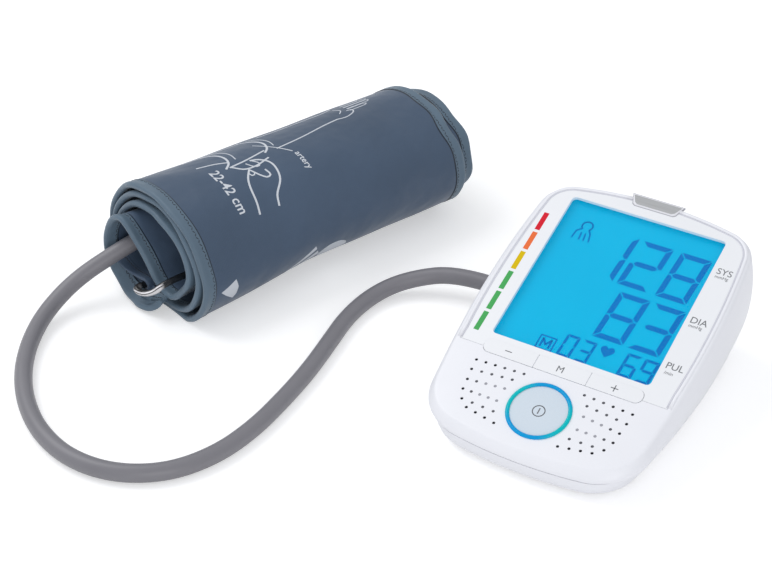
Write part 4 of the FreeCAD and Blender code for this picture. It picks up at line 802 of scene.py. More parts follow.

# %% Badge plate, its seat with painted shadow and its rim with painted highlight
# The rim is raised; its pale tone is a painted highlight on its bevel.
RIM_PAINTED_HIGHLIGHT = moulded("badge_rim_painted_highlight", (0.80, 0.80, 0.84), 0.3, drift=0.02)
# The seat's grey is a painted shadow of the notch round the badge.
SEAT_PAINTED_SHADOW = moulded("badge_seat_shadow", (0.42, 0.42, 0.46), 0.5, drift=0.02)
badge_piece("badge", [(0.62, -0.9), (0.62, 0.42), (0.7, 0.5)], brushed_silver(), ["badge_plate"])
badge_piece("badge_seat", [(-0.3, -0.9), (-0.3, 0.05), (-0.2, 0.12), (0.3, 0.12)], SEAT_PAINTED_SHADOW)
badge_piece("badge_rim", [(0.0, -0.9), (0.0, 0.2), (0.2, 0.42), (0.6, 0.48), (0.75, 0.3)],
            RIM_PAINTED_HIGHLIGHT)

# %% [markdown]
# ## The bead round the plate
# A low rounded bead runs along the joint between the shell and the plate, up one side, over
# the top on both sides of the badge, and down the other side. Inside it lies a hair-fine grey
# strip, a painted shadow line that stands for a groove.
# The line could be typed in by hand. It is read from the CAD plate's own outline instead, so the
# bead can't drift from the joint, and one function lays any section along it.

# %% Outline of the plate
# The plate's top is convex, so the hull of its points is its outline.
def hull(points):
    """Convex outline of plane points, counter-clockwise."""
    points = sorted(set(points))
    def chain(run):
        kept = []
        for x, y in run:
            while len(kept) > 1 and ((kept[-1][0] - kept[-2][0]) * (y - kept[-2][1])
                                     - (kept[-1][1] - kept[-2][1]) * (x - kept[-2][0])) <= 0:
                kept.pop()
            kept.append((x, y))
        return kept[:-1]
    return chain(points) + chain(points[::-1])

plate_spots = [face_spot(Vector(v.co)) for v in NODES["display_frame"].data.vertices]
outline = hull([(round(u, 2), round(v, 2)) for u, v, w in plate_spots if w > -0.05])
foot = min(v for u, v in outline)

# %% Two runs along the plate's edge
BEAD_END = 10.6         # the runs stop here, on each side of the badge

def bead_run(side):
    """One run on the right (1) or the left (-1): up from the plate's foot, then to the badge."""
    half = [p for p in outline if p[0] * side > 12.0 and p[1] > foot + 0.5]
    order = sorted(half, key=lambda p: math.atan2(p[1] + 18, p[0] * side))
    near_middle = min((p for p in outline if p[1] > 30), key=lambda p: abs(p[0] * side - 9))
    last = order[-1]
    share = (last[0] * side - BEAD_END) / (last[0] * side - near_middle[0] * side)
    crown = last[1] + share * (near_middle[1] - last[1])
    return [(order[0][0], foot + 0.4)] + order + [(BEAD_END * side, crown)]

bead_runs = [bead_run(side) for side in (1, -1)]
print("bead points:", [len(run) for run in bead_runs])

# %% Bead and painted groove shadow
BEAD_SECTION = [(-0.35, -0.05), (-0.3, 0.14), (0.0, 0.3), (0.4, 0.38), (0.8, 0.3), (1.1, 0.1),
                (1.15, -0.05)]
GROOVE_SHADOW_SECTION = [(-1.1, -0.05), (-1.1, 0.025), (-0.3, 0.035), (-0.3, -0.05)]
# The grey strip is a painted shadow line, not a cut groove.
GROOVE_PAINTED_SHADOW = moulded("plate_edge_painted_shadow", (0.66, 0.665, 0.73), 0.6, drift=0.02)

def edge_strip(name, section, material):
    """A strip of the given section (outward, up) along both runs of the plate's edge."""
    points, faces, count = [], [], len(section)
    for run in bead_runs:
        side, first = 1 if run[0][0] > 0 else -1, len(points)
        for index, (u, v) in enumerate(run):
            u0, v0 = run[max(index - 1, 0)]
            u1, v1 = run[min(index + 1, len(run) - 1)]
            length = math.hypot(u1 - u0, v1 - v0)
            out_u, out_v = (v1 - v0) / length * side, -(u1 - u0) / length * side
            points += [face_point(u + out_u * off, v + out_v * off, w) for off, w in section]
        for index in range(len(run) - 1):
            here = first + index * count
            faces += loop_faces(here, here + count, count)
        faces += [cap(first, count), cap(first + (len(run) - 1) * count, count, flip=True)]
    strip = mesh_piece(name, points, faces, smooth=True)
    mend_normals(strip)
    adopt(strip, "monitor", material)

edge_strip("plate_bead", BEAD_SECTION, WHITE)
edge_strip("plate_groove_painted_shadow", GROOVE_SHADOW_SECTION, GROOVE_PAINTED_SHADOW)

# %% [markdown]
# ## The rolled cuff
# The cuff is one long flat bag of coated nylon, rolled up from its inner end. In its end view
# it is a spiral: the inner end runs through a wire bar, then almost three turns follow.
# The turns don't end level: each is pushed out a little along the roll, as cloth does.
# A cloth simulation could roll it up, but it would settle a little differently each time, and
# the roll has to fit the CAD solid that it stands for. So tables give the middle line in the end
# view, and how far each place reaches at both ends.

# %% Roll frame
ROLL_ORIGIN = BASE + Vector((-193.7, -40.1, 0.0)) * MM
HEADING = math.radians(68.2)
ROLL_AXIS = Vector((math.cos(HEADING), math.sin(HEADING), 0.0))
ROLL_ACROSS = Vector((math.sin(HEADING), -math.cos(HEADING), 0.0))
ROLL_MIDDLE = 26.475        # height of the roll's middle over the table
CUFF_WIDE = 155.0           # of the flat cloth, which is the length of the roll

def roll_place(along, across, height):
    """A place in the roll: along its axis, across it to the right, and up, in millimetres."""
    return ROLL_ORIGIN + (ROLL_AXIS * along + ROLL_ACROSS * across + Vector((0, 0, height))) * MM

# %% Middle line of the inner stretch
ACROSS, UP, OPEN_ACROSS, OPEN_UP, NEAR, LEAVES, FAR, MARK = range(8)    # columns of a station
# Across, up, across at the open end, up at the open end, near reach, where it leaves the roll,
# and a mark that tells this stretch from the turns, which carry their angle there.
INNER_STRETCH = [
    (13.5, 9.0, 14.2, 9.8, -4.4, -1.0, -60), (9.8, 8.8, 11.2, 5.8, -6.4, -1.0, -60),
    (6.0, 8.8, 7.4, 3.4, -8.4, -1.0, -60), (1.5, 9.0, 2.2, 2.8, -10.0, -1.0, -60),
    (-3.0, 10.2, -3.5, 2.8, -9.9, -0.5, -60), (-9.0, 10.0, -9.6, 3.3, -9.6, -0.5, -60),
    (-16.4, 12.2, -15.4, 6.7, -9.2, -1.0, -60), (-21.8, 17.4, -20.6, 11.4, -9.0, -2.0, -60),
    (-23.5, 24.5, -24.9, 18.6, -8.6, -2.5, -60), (-22.0, 31.5, -24.9, 27.6, -8.2, -2.5, -60),
    (-17.8, 36.8, -20.3, 35.8, -7.8, -2.0, -60), (-12.6, 38.4, -13.4, 39.4, -7.2, -1.0, -60),
    (-8.0, 35.4, -8.0, 36.0, -6.2, 0.0, -60), (-3.5, 28.8, -3.5, 28.8, -4.6, 0.0, -60),
    (1.0, 21.8, 1.0, 21.8, -3.2, 0.0, -58), (5.6, 15.4, 5.6, 15.4, -2.0, 0.0, -52),
    (11.0, 11.6, 11.0, 11.6, -1.0, 0.0, -46), (16.0, 12.2, 16.0, 12.2, 0.0, 1.0, -38)]
FLAP_ROWS = 4                           # the first rows are a short flap at the mouth
FLAP_REACH, INNER_REACH = -0.4, 148.0   # far reach of the flap and of the inner stretch

# %% Reach of the turns
# Angle of the spiral in degrees, and how far the cloth reaches along the roll there.
NEAR_REACH = [(-30, 1), (0, 2), (90, 2.5), (180, -2), (270, 0), (360, 3.6), (450, 4.3), (540, -1.3),
              (630, 1), (720, 4.5), (810, 3.4), (900, 0.5), (955, 0.5)]
FAR_REACH = [(-30, 149), (90, 155), (300, 157.6), (350, 159), (400, 160), (440, 160.8),
             (490, 160.2), (540, 158), (610, 156), (650, 154), (690, 151.4), (735, 151.2),
             (800, 151.2), (835, 150.4), (860, 149.7), (955, 150)]
FIRST_ANGLE, LAST_ANGLE, ANGLE_STEP = -30, 955, 15
PITCH, HALF_WIDE, HALF_TALL = 4.1, 33.4, 25.9

def spiral_place(angle):
    grown = PITCH * (angle - 720) / 360
    turn = math.radians(angle)
    height = ROLL_MIDDLE + (HALF_TALL + grown) * math.sin(turn)
    return (HALF_WIDE + grown) * math.cos(turn), height

def table_value(table, at):
    return float(np.interp(at, [row[0] for row in table], [row[1] for row in table]))

# %% Smooth line through rows
def smooth_line(rows, spacing):
    """Catmull-Rom curve through rows of numbers, resampled evenly by length in the plane."""
    rows = np.array(rows, float)
    rows = np.vstack([2 * rows[0] - rows[1], rows, 2 * rows[-1] - rows[-2]])
    fine = []
    for a, b, c, d in zip(rows, rows[1:], rows[2:], rows[3:]):
        for k in range(12):
            x = k / 12
            fine.append(0.5 * ((2 * b) + (c - a) * x + (2 * a - 5 * b + 4 * c - d) * x ** 2
                               + (3 * b - a - 3 * c + d) * x ** 3))
    fine.append(rows[-2])
    fine = np.array(fine)
    length = np.concatenate([[0], np.cumsum(np.hypot(*np.diff(fine[:, :2], axis=0).T))])
    stops = np.linspace(0, length[-1], int(length[-1] / spacing) + 1)
    even = [np.interp(stops, length, fine[:, k]) for k in range(rows.shape[1])]
    return np.column_stack(even), stops

# %% Stations of the cloth
CLOTH_SPACING = 1.5
stations = []
for index, row in enumerate(INNER_STRETCH):
    stations.append((*row[:6], FLAP_REACH if index < FLAP_ROWS else INNER_REACH, row[6]))
for angle in range(FIRST_ANGLE, LAST_ANGLE + 1, ANGLE_STEP):
    x, z = spiral_place(angle)
    near = table_value(NEAR_REACH, angle)
    stations.append((x, z, x, z, near, near + 1.0, table_value(FAR_REACH, angle), angle))
cloth_rows, cloth_stops = smooth_line(stations, CLOTH_SPACING)
flap_end = int(np.argmax(cloth_rows[:, FAR] > 70))
cloth_rows[:flap_end, FAR] = FLAP_REACH
cloth_rows[flap_end:, FAR] = np.maximum(cloth_rows[flap_end:, FAR], INNER_REACH)
print("cloth length %.0f mm, %d stations" % (cloth_stops[-1], len(cloth_rows)))

# %% [markdown]
# ## The slack of the cloth
# The cloth isn't a perfect cylinder. Near its open end the roll spreads to a squarer foot, the
# innermost stretch droops out of the roll onto the table, and everywhere the surface has slow
# hollows and a few creases. Sculpting them would leave the hems, stitches and prints behind.
# slack_place moves a point of the ideal roll to where the slack cloth lies, and everything on
# the cloth goes through it, so all of it stays together.

# %% Slack of the cloth
SPREAD, SPREAD_REACH, SPREAD_ANGLE = 0.20, 85.0, math.radians(-38)     # the squarer foot
CROWN, CROWN_REACH, CROWN_ANGLE = 0.018, 40, math.radians(100)         # a low rise of the top
SLOW_HOLLOW, LONG_HOLLOW, CREASE = 0.35, 0.16, 0.3                     # depths in millimetres
CREASE_PLACE, CREASE_WIDE = 12, 9                                      # along the roll
LOWEST = 1.1                        # middle of the cloth where it lies on the table

def ease(x):
    x = max(0.0, min(1.0, x))
    return x * x * (3 - 2 * x)

def slack_place(row, along):
    """Where the middle of the cloth lies in the end view, at a station and a place along."""
    leaves, near = row[LEAVES], row[NEAR]
    out = ease((leaves - along) / max(leaves - near, 0.5))
    across = row[ACROSS] + (row[OPEN_ACROSS] - row[ACROSS]) * out
    up = row[UP] + (row[OPEN_UP] - row[UP]) * out - ROLL_MIDDLE
    angle, radius = math.atan2(up, across), math.hypot(across, up)
    at_mouth = ease((SPREAD_REACH - along) / SPREAD_REACH)
    inner = min(1.0, radius / 20.0)
    corner = max(0.0, math.cos(angle - SPREAD_ANGLE)) ** 3
    crown = max(0.0, math.cos(angle - CROWN_ANGLE)) ** 4
    crown *= ease((CROWN_REACH - along) / CROWN_REACH)
    spread = SPREAD * max(0.0, min(1.0, (row[MARK] + 60) / 90))
    crown = crown if row[MARK] > -35 else 0.0      # the turns, not the inner stretch
    hollow = SLOW_HOLLOW * math.sin(along * 0.055 + 1.7 * angle) * math.sin(2.3 * angle + 0.6)
    hollow += LONG_HOLLOW * math.sin(along * 0.13 - 3.1 * angle + 1.0)
    off_crease = along - CREASE_PLACE - CREASE_WIDE * math.sin(2.1 * angle)
    crease = math.exp(-(off_crease / CREASE_WIDE) ** 2)
    hollow += CREASE * crease * math.sin(6.0 * angle + 0.12 * along)
    radius = radius * (1 + spread * at_mouth * corner + CROWN * crown) + hollow * inner
    return radius * math.cos(angle), max(ROLL_MIDDLE + radius * math.sin(angle), LOWEST)

# %% [markdown]
# ## The cloth bag
# The bag's edges are bound with a rolled hem, thicker than the cloth and round at its lip. A
# loop of points round the cloth's thickness is drawn at every station and joined to the next,
# so the whole bag is one closed skin. Its UV map says where each point lies on the flat cloth,
# so that the weave follows the cloth.

# %% Section across the cloth
HEM, CLOTH_HALF, LIP = 5.8, 1.05, 1.45      # width of the hem, half thickness of cloth and lip

def cloth_section(near, far, lip=LIP, half=CLOTH_HALF, hem=HEM, count=26):
    """Points round the cloth's section: (along, out, distance from the near edge)."""
    width = far - near
    rise = [(lip * (1 - math.sin(math.radians(a))), lip * math.cos(math.radians(a)))
            for a in (90, 65, 40, 18, 0)]
    rise += [(0.36 * hem, lip * 0.98), (0.5 * hem, lip * 0.88), (0.62 * hem, half * 1.14),
             (0.8 * hem, half * 1.10), (0.93 * hem, half * 1.26), (0.98 * hem, half * 1.2),
             (hem + 0.1, half * 0.92), (hem + 0.6, half)]
    if width < 3 * hem:
        rise = [(d * width / (3 * hem), out) for d, out in rise]
    start, end = rise[-1][0] + 2.0, width - rise[-1][0] - 2.0
    top = rise + [(stop, half) for stop in np.linspace(start, end, count)]
    top += [(width - d, out) for d, out in reversed(rise)]
    loop = top + [(d, -out) for d, out in reversed(top[1:-1])]
    return [(near + d, out, d) for d, out in loop]

# %% Skin over the stations
def cloth_skin(name, rows, stops, section_of, place):
    """One closed skin of cloth from its stations, with the flat cloth as its UV map."""
    sections = [section_of(index) for index in range(len(rows))]
    middle = np.array([[place(rows[i], along) for along, out, flat in section]
                       for i, section in enumerate(sections)])
    run = np.gradient(middle, axis=0)
    size = np.maximum(np.hypot(run[:, :, 0], run[:, :, 1]), 1e-6)
    normal = np.stack([run[:, :, 1] / size, -run[:, :, 0] / size], axis=2)
    points, uvs, faces = [], [], []
    for i, section in enumerate(sections):
        for k, (along, out, flat) in enumerate(section):
            across, height = middle[i, k] + normal[i, k] * out
            points.append(roll_place(along, across, max(height, 0.05)))
            uvs.append((stops[i] * MM, flat * MM))
    count, last = len(sections[0]), len(rows) - 1
    for i in range(last):
        faces += loop_faces(i * count, (i + 1) * count, count, flip=True)
    faces += [cap(0, count), cap(last * count, count, flip=True)]
    piece = mesh_piece(name, points, faces, smooth=True)
    layer = piece.data.uv_layers.new(name="cloth")
    for loop in piece.data.loops:
        layer.data[loop.index].uv = uvs[loop.vertex_index]
    return piece

# %% Cuff skin
EVEN_EDGE = 20.0        # the map is true this far in from both hems, in millimetres

def flat_place(d, width):
    """Place across the flat cloth of a point d from the near edge of a skin of this width."""
    if d < EVEN_EDGE:
        return d
    if width - d < EVEN_EDGE:
        return CUFF_WIDE - (width - d)
    return EVEN_EDGE + (d - EVEN_EDGE) * (CUFF_WIDE - 2 * EVEN_EDGE) / (width - 2 * EVEN_EDGE)

def cuff_section(index):
    row, stop = cloth_rows[index], cloth_stops[index]
    near, far, is_flap = row[NEAR], row[FAR], row[FAR] < 0
    left = min(stop, cloth_stops[-1] - stop)
    squeeze = math.sqrt(min(1.0, (left + 0.15) / 1.3))
    if not is_flap:
        ripple = 0.3 * math.sin(stop * 0.11) + 0.2 * math.sin(stop * 0.23 + 1)
        near += ripple
        far = far - ripple + 0.55 * math.sin(stop * 0.31) * math.sin(stop * 0.05)
    return [(along, out * squeeze, flat if is_flap else flat_place(flat, far - near))
            for along, out, flat in cloth_section(near, far)]

cuff = cloth_skin("rolled_cuff", cloth_rows, cloth_stops, cuff_section, slack_place)
print("cuff faces:", len(cuff.data.polygons))

# %% [markdown]
# ## The strap and its sleeve
# A narrow strap lies on the innermost stretch. Its end is turned round the wire bar as a
# sleeve, which is how the bar is held on the cuff. The function that makes the bag makes it too,
# with a thinner section and a line of its own.

# %% Strap skin
STRAP_LINE = [
    (-19.0, 17.6, -20.2, 14.6, -6.4), (-17.2, 15.2, -17.4, 13.3, -6.2),
    (-14.4, 13.4, -14.0, 12.6, -5.8), (-11.5, 12.3, -11.0, 12.2, -5.4),
    (-8.5, 11.9, -8.2, 12.0, -5.0), (-5.4, 12.0, -5.4, 12.0, -4.6),
    (-2.6, 12.2, -2.6, 12.2, -4.2), (-0.6, 12.25, -0.6, 12.25, -4.0),
    (1.0, 11.95, 1.0, 11.95, -3.9), (2.0, 10.9, 2.0, 10.9, -3.8), (2.1, 9.6, 2.1, 9.6, -3.8),
    (1.2, 8.5, 1.2, 8.5, -3.8), (-0.2, 8.2, -0.2, 8.2, -3.8), (-1.4, 8.7, -1.4, 8.7, -3.8)]
STRAP_LEAVES, STRAP_FAR, STRAP_MARK, STRAP_SPACING = -0.5, 147.0, -60.0, 0.8
strap_rows, strap_stops = smooth_line(
    [(*row, STRAP_LEAVES, STRAP_FAR, STRAP_MARK) for row in STRAP_LINE], STRAP_SPACING)

def strap_section(index):
    row = strap_rows[index]
    return cloth_section(row[NEAR], row[FAR], lip=0.75, half=0.5, hem=4.6, count=12)

strap = cloth_skin("bar_strap", strap_rows, strap_stops, strap_section, slack_place)
print("strap faces:", len(strap.data.polygons))

# %% [markdown]
# ## The wire bar
# The bar is one closed loop of thick chromed wire, which the cuff's end threads through. Its near
# end is bowed outward and sags a little between its two legs, from years of pulling. A rounded
# rectangle would be simpler, but it would miss that bow, so the near end follows a table.
# The chrome's reflections are painted: bands of painted reflection are drawn by the place round
# the wire, on the bar's own map, so that they stay on it from any side, and painted shade turns
# the wire dark in the roll.

# %% Line of the wire bar
# Across the loop, out of the roll, sag.
BAR_NEAR = [(0.0, -20.0, 0.0), (0.0, -6.0, 0.0), (0.0, 4.0, -0.4), (0.3, 7.2, -0.6),
            (1.6, 8.8, 0.3), (4.0, 8.7, 1.8), (7.5, 8.2, 2.9), (12.0, 8.0, 3.3),
            (17.0, 7.8, 3.0), (21.0, 7.6, 2.2), (23.2, 6.8, 1.1), (24.0, 4.6, 0.5),
            (24.0, 0.0, 0.1), (24.0, -6.0, 0.0), (24.0, -20.0, 0.0)]
BAR_FAR = [(24.0, -156.7, 0.0), (22.5, -160.2, 0.0), (19.0, -161.7, 0.0), (5.0, -161.7, 0.0),
           (1.5, -160.2, 0.0), (0.0, -156.7, 0.0)]
BAR_WIDE, BAR_LEAN, BAR_FOOT_HIGH, BAR_RADIUS = 24, math.radians(32), 10.2, 1.5

def bar_point(across, out, sag):
    height = BAR_FOOT_HIGH + across * math.sin(BAR_LEAN) - sag
    return roll_place(-out, across * math.cos(BAR_LEAN), height)

near_bend = smooth_line(BAR_NEAR, 0.8)[0]
bar_path = [bar_point(*row) for row in near_bend] + [bar_point(*row) for row in BAR_FAR]
bar_face = (bar_point(BAR_WIDE, 0, 0) - bar_point(0, 0, 0)).cross(ROLL_AXIS).normalized()

# %% Painted reflections of the bar's chrome
# Places round the wire (0 to 1) and how bright the painted reflection is there.
PAINTED_REFLECTION_BANDS = [(0.0, 0.34), (0.25, 0.55), (0.46, 0.66), (0.485, 0.05), (0.515, 0.05),
                (0.535, 0.95), (0.58, 0.92), (0.61, 0.05), (0.85, 0.04), (1.0, 0.34)]
ROLL_MOUTH = ROLL_ORIGIN.dot(ROLL_AXIS)
# Colour of the painted shade on the wire where it lies inside the roll.
PAINTED_ROLL_SHADE = (0.012, 0.014, 0.018)

def painted_reflection_bands(tree, source, socket):
    node = tree.nodes.new("ShaderNodeValToRGB")
    ramp = node.color_ramp
    while len(ramp.elements) < len(PAINTED_REFLECTION_BANDS):
        ramp.elements.new(0.5)
    for element, (place, tone) in zip(ramp.elements, PAINTED_REFLECTION_BANDS):
        element.position = place
        element.color = (tone, tone * 0.98, tone, 1.0)
    wire(tree, source, socket, node, "Fac")
    return node

# %% Chrome with painted reflections and painted shade in the roll
def chrome_with_painted_light():
    """Chrome with painted reflections of the roll and the table, and painted shade in the roll."""
    material, tree, shader = new_material("wire_chrome_painted_light")
    where = tree.nodes.new("ShaderNodeTexCoord")
    split = tree.nodes.new("ShaderNodeSeparateXYZ")
    wire(tree, where, "UV", split, "Vector")
    slow = noise_node(tree, where, 260.0, 1.0)
    # Painted reflection: bands of bright and dark round the wire.
    bands = painted_reflection_bands(tree, split, "Y")
    reach = tree.nodes.new("ShaderNodeVectorMath")
    reach.operation = "DOT_PRODUCT"
    reach.inputs[1].default_value = ROLL_AXIS
    wire(tree, where, "Object", reach, 0)
    # Painted shade: the wire is coloured dark where it lies inside the roll.
    near = range_node(tree, reach, "Value", ROLL_MOUTH - 7.4 * MM, ROLL_MOUTH - 5.8 * MM)
    far = range_node(tree, reach, "Value", ROLL_MOUTH + 153 * MM, ROLL_MOUTH + 150 * MM)
    inside = math_node(tree, "MULTIPLY", (near, "Result"), (far, "Result"))
    shade = mix_node(tree, (inside, "Value"), (bands, "Color"), PAINTED_ROLL_SHADE)
    wire(tree, shade, MIX_RESULT, shader, "Base Color")
    bump_node(tree, slow, "Fac", shader, 0.02 * MM, 0.3)
    tune(shader, {"Metallic": 0.35, "Roughness": 0.22})
    return material

# %% Wire bar
WIRE_SIDES = 16
points, faces, rows = [], [], len(bar_path)
for index, here in enumerate(bar_path):
    ahead = (bar_path[(index + 1) % rows] - bar_path[index - 1]).normalized()
    side = ahead.cross(bar_face).normalized()
    up = side.cross(ahead)
    for k in range(WIRE_SIDES):
        a = 2 * math.pi * (k / WIRE_SIDES - 0.5)
        points.append(here + (side * math.cos(a) + up * math.sin(a)) * BAR_RADIUS * MM)
    faces += loop_faces(index * WIRE_SIDES, (index + 1) % rows * WIRE_SIDES, WIRE_SIDES)
bar = mesh_piece("wire_bar", points, faces, smooth=True)
bar_map = bar.data.uv_layers.new(name="round_the_wire")
for number, polygon in enumerate(bar.data.polygons):
    row, k = divmod(number, WIRE_SIDES)
    corners = [(row, k), (row, k + 1), (row + 1, k + 1), (row + 1, k)]
    for corner, (along, round_it) in zip(polygon.loop_indices, corners):
        bar_map.data[corner].uv = (along / rows, round_it / WIRE_SIDES)
mend_normals(bar)
adopt(bar, body_of("cuff_bar"), chrome_with_painted_light(), ["cuff_bar"])
print("points along the wire bar:", rows)

# %% [markdown]
# ## Stitches
# A zigzag of dark thread runs along every hem, on both sides of the cloth. There are more than
# a thousand stitches, so Geometry Nodes place them: each point carries the direction of its
# stitch, and gets a small stretched bead, because a thread pulled into cloth looks like one. A
# painted zigzag would look flat along the rim, where the hem is seen edge on.

# %% Stitch points
NEAR_EDGE, FAR_EDGE, OUTSIDE, INSIDE = 0, 1, 1, -1

def zigzag(rows, edge, side, low, high, lift):
    """Corner points of a zigzag along one edge and one side of the cloth."""
    corners = []
    for index in range(1, len(rows) - 1):
        row = rows[index]
        from_lip = low if index % 2 else high
        if row[FAR] - row[NEAR] < 3 * high:
            from_lip = min(from_lip, 0.55 * (row[FAR] - row[NEAR]))
            if edge == FAR_EDGE:
                continue
        along = row[FAR] - from_lip if edge == FAR_EDGE else row[NEAR] + from_lip
        here = slack_place(row, along)
        before, after = slack_place(rows[index - 1], along), slack_place(rows[index + 1], along)
        dx, dz = after[0] - before[0], after[1] - before[1]
        size = max(math.hypot(dx, dz), 1e-6)
        across, height = here[0] + dz / size * side * lift, here[1] - dx / size * side * lift
        corners.append(roll_place(along, across, max(height, 0.1)))
    return corners

LONGEST_STITCH = 4 * MM
stitch_runs = [zigzag(cloth_rows, edge, side, 4.1, 5.2, CLOTH_HALF * 1.1)
               for edge in (NEAR_EDGE, FAR_EDGE) for side in (OUTSIDE, INSIDE)]
stitch_runs.append(zigzag(strap_rows, NEAR_EDGE, INSIDE, 3.1, 3.9, 0.56))
stitches = [(a, b) for run in stitch_runs for a, b in zip(run, run[1:])
            if (b - a).length < LONGEST_STITCH]
print("stitches:", len(stitches))

# %% Bead tree
def bead_tree(name):
    """Geometry Nodes: a bead stretched along the direction of every point."""
    tree, sockets, entry, place = copies_tree(
        name, [("Points", "Geometry"), ("Thread radius", "Float"), ("Stitch share", "Float"),
               ("Thread", "Material")], "Stitches", "heading", "X")
    bead, size = tree.nodes.new("GeometryNodeMeshIcoSphere"), tree.nodes.new("ShaderNodeCombineXYZ")
    tune(bead, {"Radius": 1.0, "Subdivisions": 1})
    span = named_attribute(tree, "span", "FLOAT")
    reach = math_node(tree, "MULTIPLY", (span, "Attribute"), (entry, "Stitch share"))
    wire(tree, reach, "Value", size, "X")
    wire(tree, entry, "Thread radius", size, "Y")
    wire(tree, entry, "Thread radius", size, "Z")
    wire(tree, bead, "Mesh", place, "Instance")
    wire(tree, size, "Vector", place, "Scale")
    return tree, sockets

# %% Stitches on the hems
THREAD_RADIUS, STITCH_SHARE = 0.23 * MM, 0.46
THREAD = moulded("dark_thread", (0.028, 0.036, 0.048), 0.7, grain=9000.0, drift=0.2)
holder = mesh_piece("stitch_points", [(a + b) / 2 for a, b in stitches], [])
mark_points(holder, "heading", "FLOAT_VECTOR", "vector",
            [x for a, b in stitches for x in (b - a).normalized()])
mark_points(holder, "span", "FLOAT", "value", [(b - a).length for a, b in stitches])
beads, bead_sockets = bead_tree("zigzag_stitches")
seams = grow("hem_stitches", holder, beads, bead_sockets,
             {"Thread radius": THREAD_RADIUS, "Stitch share": STITCH_SHARE, "Thread": THREAD})
adopt(seams, "cuff_set", THREAD)
print("stitch faces:", len(seams.data.polygons))

# %% [markdown]
# ## Woven nylon
# Coated nylon has a tight plain weave, a soft sheen and a slate blue tone. Two crossed waves
# on the cloth's own map make the weave, which modelled threads would be far too heavy for. The
# hem tape is lighter, and is found by its distance from either edge. Soft wrinkles are a bump,
# since the larger hollows are in the shape already.

# %% Colours of the cloth
CUFF_COLOUR, HEM_COLOUR = (0.064, 0.098, 0.154), (0.110, 0.162, 0.216)
# Colour of the painted shadow line along the inner edge of the hem tape.
TAPE_EDGE_PAINTED_SHADOW = (0.018, 0.026, 0.038)
TAPE_LINES = (HEM * MM, CUFF_WIDE * MM - HEM * MM)     # inner edges of the hem tape on the cloth

def faded(tree, patch, colour):
    """The colour, a tenth darker or lighter from patch to patch."""
    return ramp_node(tree, patch, "Fac", [c * 0.9 for c in colour], [c * 1.1 for c in colour])

def hem_tape(tree, where, patch, cloth):
    """The paler tape over both hems, with a fine dark line of painted shadow along its inner edge.
    """
    split = tree.nodes.new("ShaderNodeSeparateXYZ")
    wire(tree, where, "UV", split, "Vector")
    near = math_node(tree, "LESS_THAN", (split, "Y"), TAPE_LINES[0])
    far = math_node(tree, "GREATER_THAN", (split, "Y"), TAPE_LINES[1])
    either = math_node(tree, "ADD", (near, "Value"), (far, "Value"))
    tape = faded(tree, patch, HEM_COLOUR)
    taped = mix_node(tree, (either, "Value"), (cloth, "Color"), (tape, "Color"))
    # Painted shadow: a fine dark line where the tape's inner edge steps onto the cloth.
    edges = [math_node(tree, "COMPARE", (split, "Y"), place, 0.28 * MM) for place in TAPE_LINES]
    line = math_node(tree, "MAXIMUM", (edges[0], "Value"), (edges[1], "Value"))
    return mix_node(tree, (line, "Value"), (taped, MIX_RESULT), TAPE_EDGE_PAINTED_SHADOW)

# %% Woven nylon
def woven(name, taped):
    """Plain weave with soft wrinkles, with or without the tape over its hems."""
    material, tree, shader = new_material(name)
    where = tree.nodes.new("ShaderNodeTexCoord")
    weave = []
    for direction in ("X", "Y"):
        wave = tree.nodes.new("ShaderNodeTexWave")
        wave.bands_direction = direction
        tune(wave, {"Scale": 420.0, "Distortion": 0.6})
        wire(tree, where, "UV", wave, "Vector")
        weave.append(wave)
    cross = math_node(tree, "MULTIPLY", (weave[0], "Fac"), (weave[1], "Fac"))
    patch = noise_node(tree, where, 14.0, 4.0, "UV")
    tone = faded(tree, patch, CUFF_COLOUR)
    if taped:
        wire(tree, hem_tape(tree, where, patch, tone), MIX_RESULT, shader, "Base Color")
    else:
        wire(tree, tone, "Color", shader, "Base Color")
    wrinkle = noise_node(tree, where, 55.0, 2.0, "UV")
    coarse = bump_node(tree, wrinkle, "Fac", shader, 2.2 * MM, 0.8)
    bump_node(tree, cross, "Value", shader, 0.05 * MM, 0.45, below=coarse)
    tune(shader, {"Roughness": 0.45, "Specular IOR Level": 0.3, "Sheen Weight": 0.12,
                  "Sheen Roughness": 0.4})
    return material

# %% Cloth of the cuff and the strap
adopt(cuff, "cuff_set", woven("slate_blue_nylon", taped=True), ["cuff_wrap"])
adopt(strap, "cuff_set", woven("strap_nylon", taped=False), ["bar_loop"])

# %% [markdown]
# ## Prints on the cuff
# White ink is printed on the outside of the last turn: the arm sizes it fits, an index mark, a
# dot for the artery, and a plain line drawing of an arm with a cuff that a hand pulls round it.
# A texture could carry it, but thin plates keep their edges sharp at any size. cloth_point turns
# a place on the flat cloth into the frame, so a print follows the roll and its hollows.

# %% Places on the cloth
def cloth_point(s, along, out):
    """A point over the cloth: length from its inner end, place along the roll, and height."""
    at = min(max(s / cloth_stops[1], 1.0), len(cloth_rows) - 3.0)
    index, part = int(at), at - int(at)
    def row_at(i):
        return cloth_rows[i] * (1 - part) + cloth_rows[i + 1] * part
    here = slack_place(row_at(index), along)
    before, after = slack_place(row_at(index - 1), along), slack_place(row_at(index + 1), along)
    dx, dz = after[0] - before[0], after[1] - before[1]
    size = math.hypot(dx, dz)
    return roll_place(along, here[0] + dz / size * out, here[1] - dx / size * out)

# %% Printed lines and areas
def ink_line(points, width, step=1.2):
    """A printed line: a smooth curve through places on the flat cloth."""
    return stroke([tuple(row) for row in smooth_line(points, step)[0]], width)

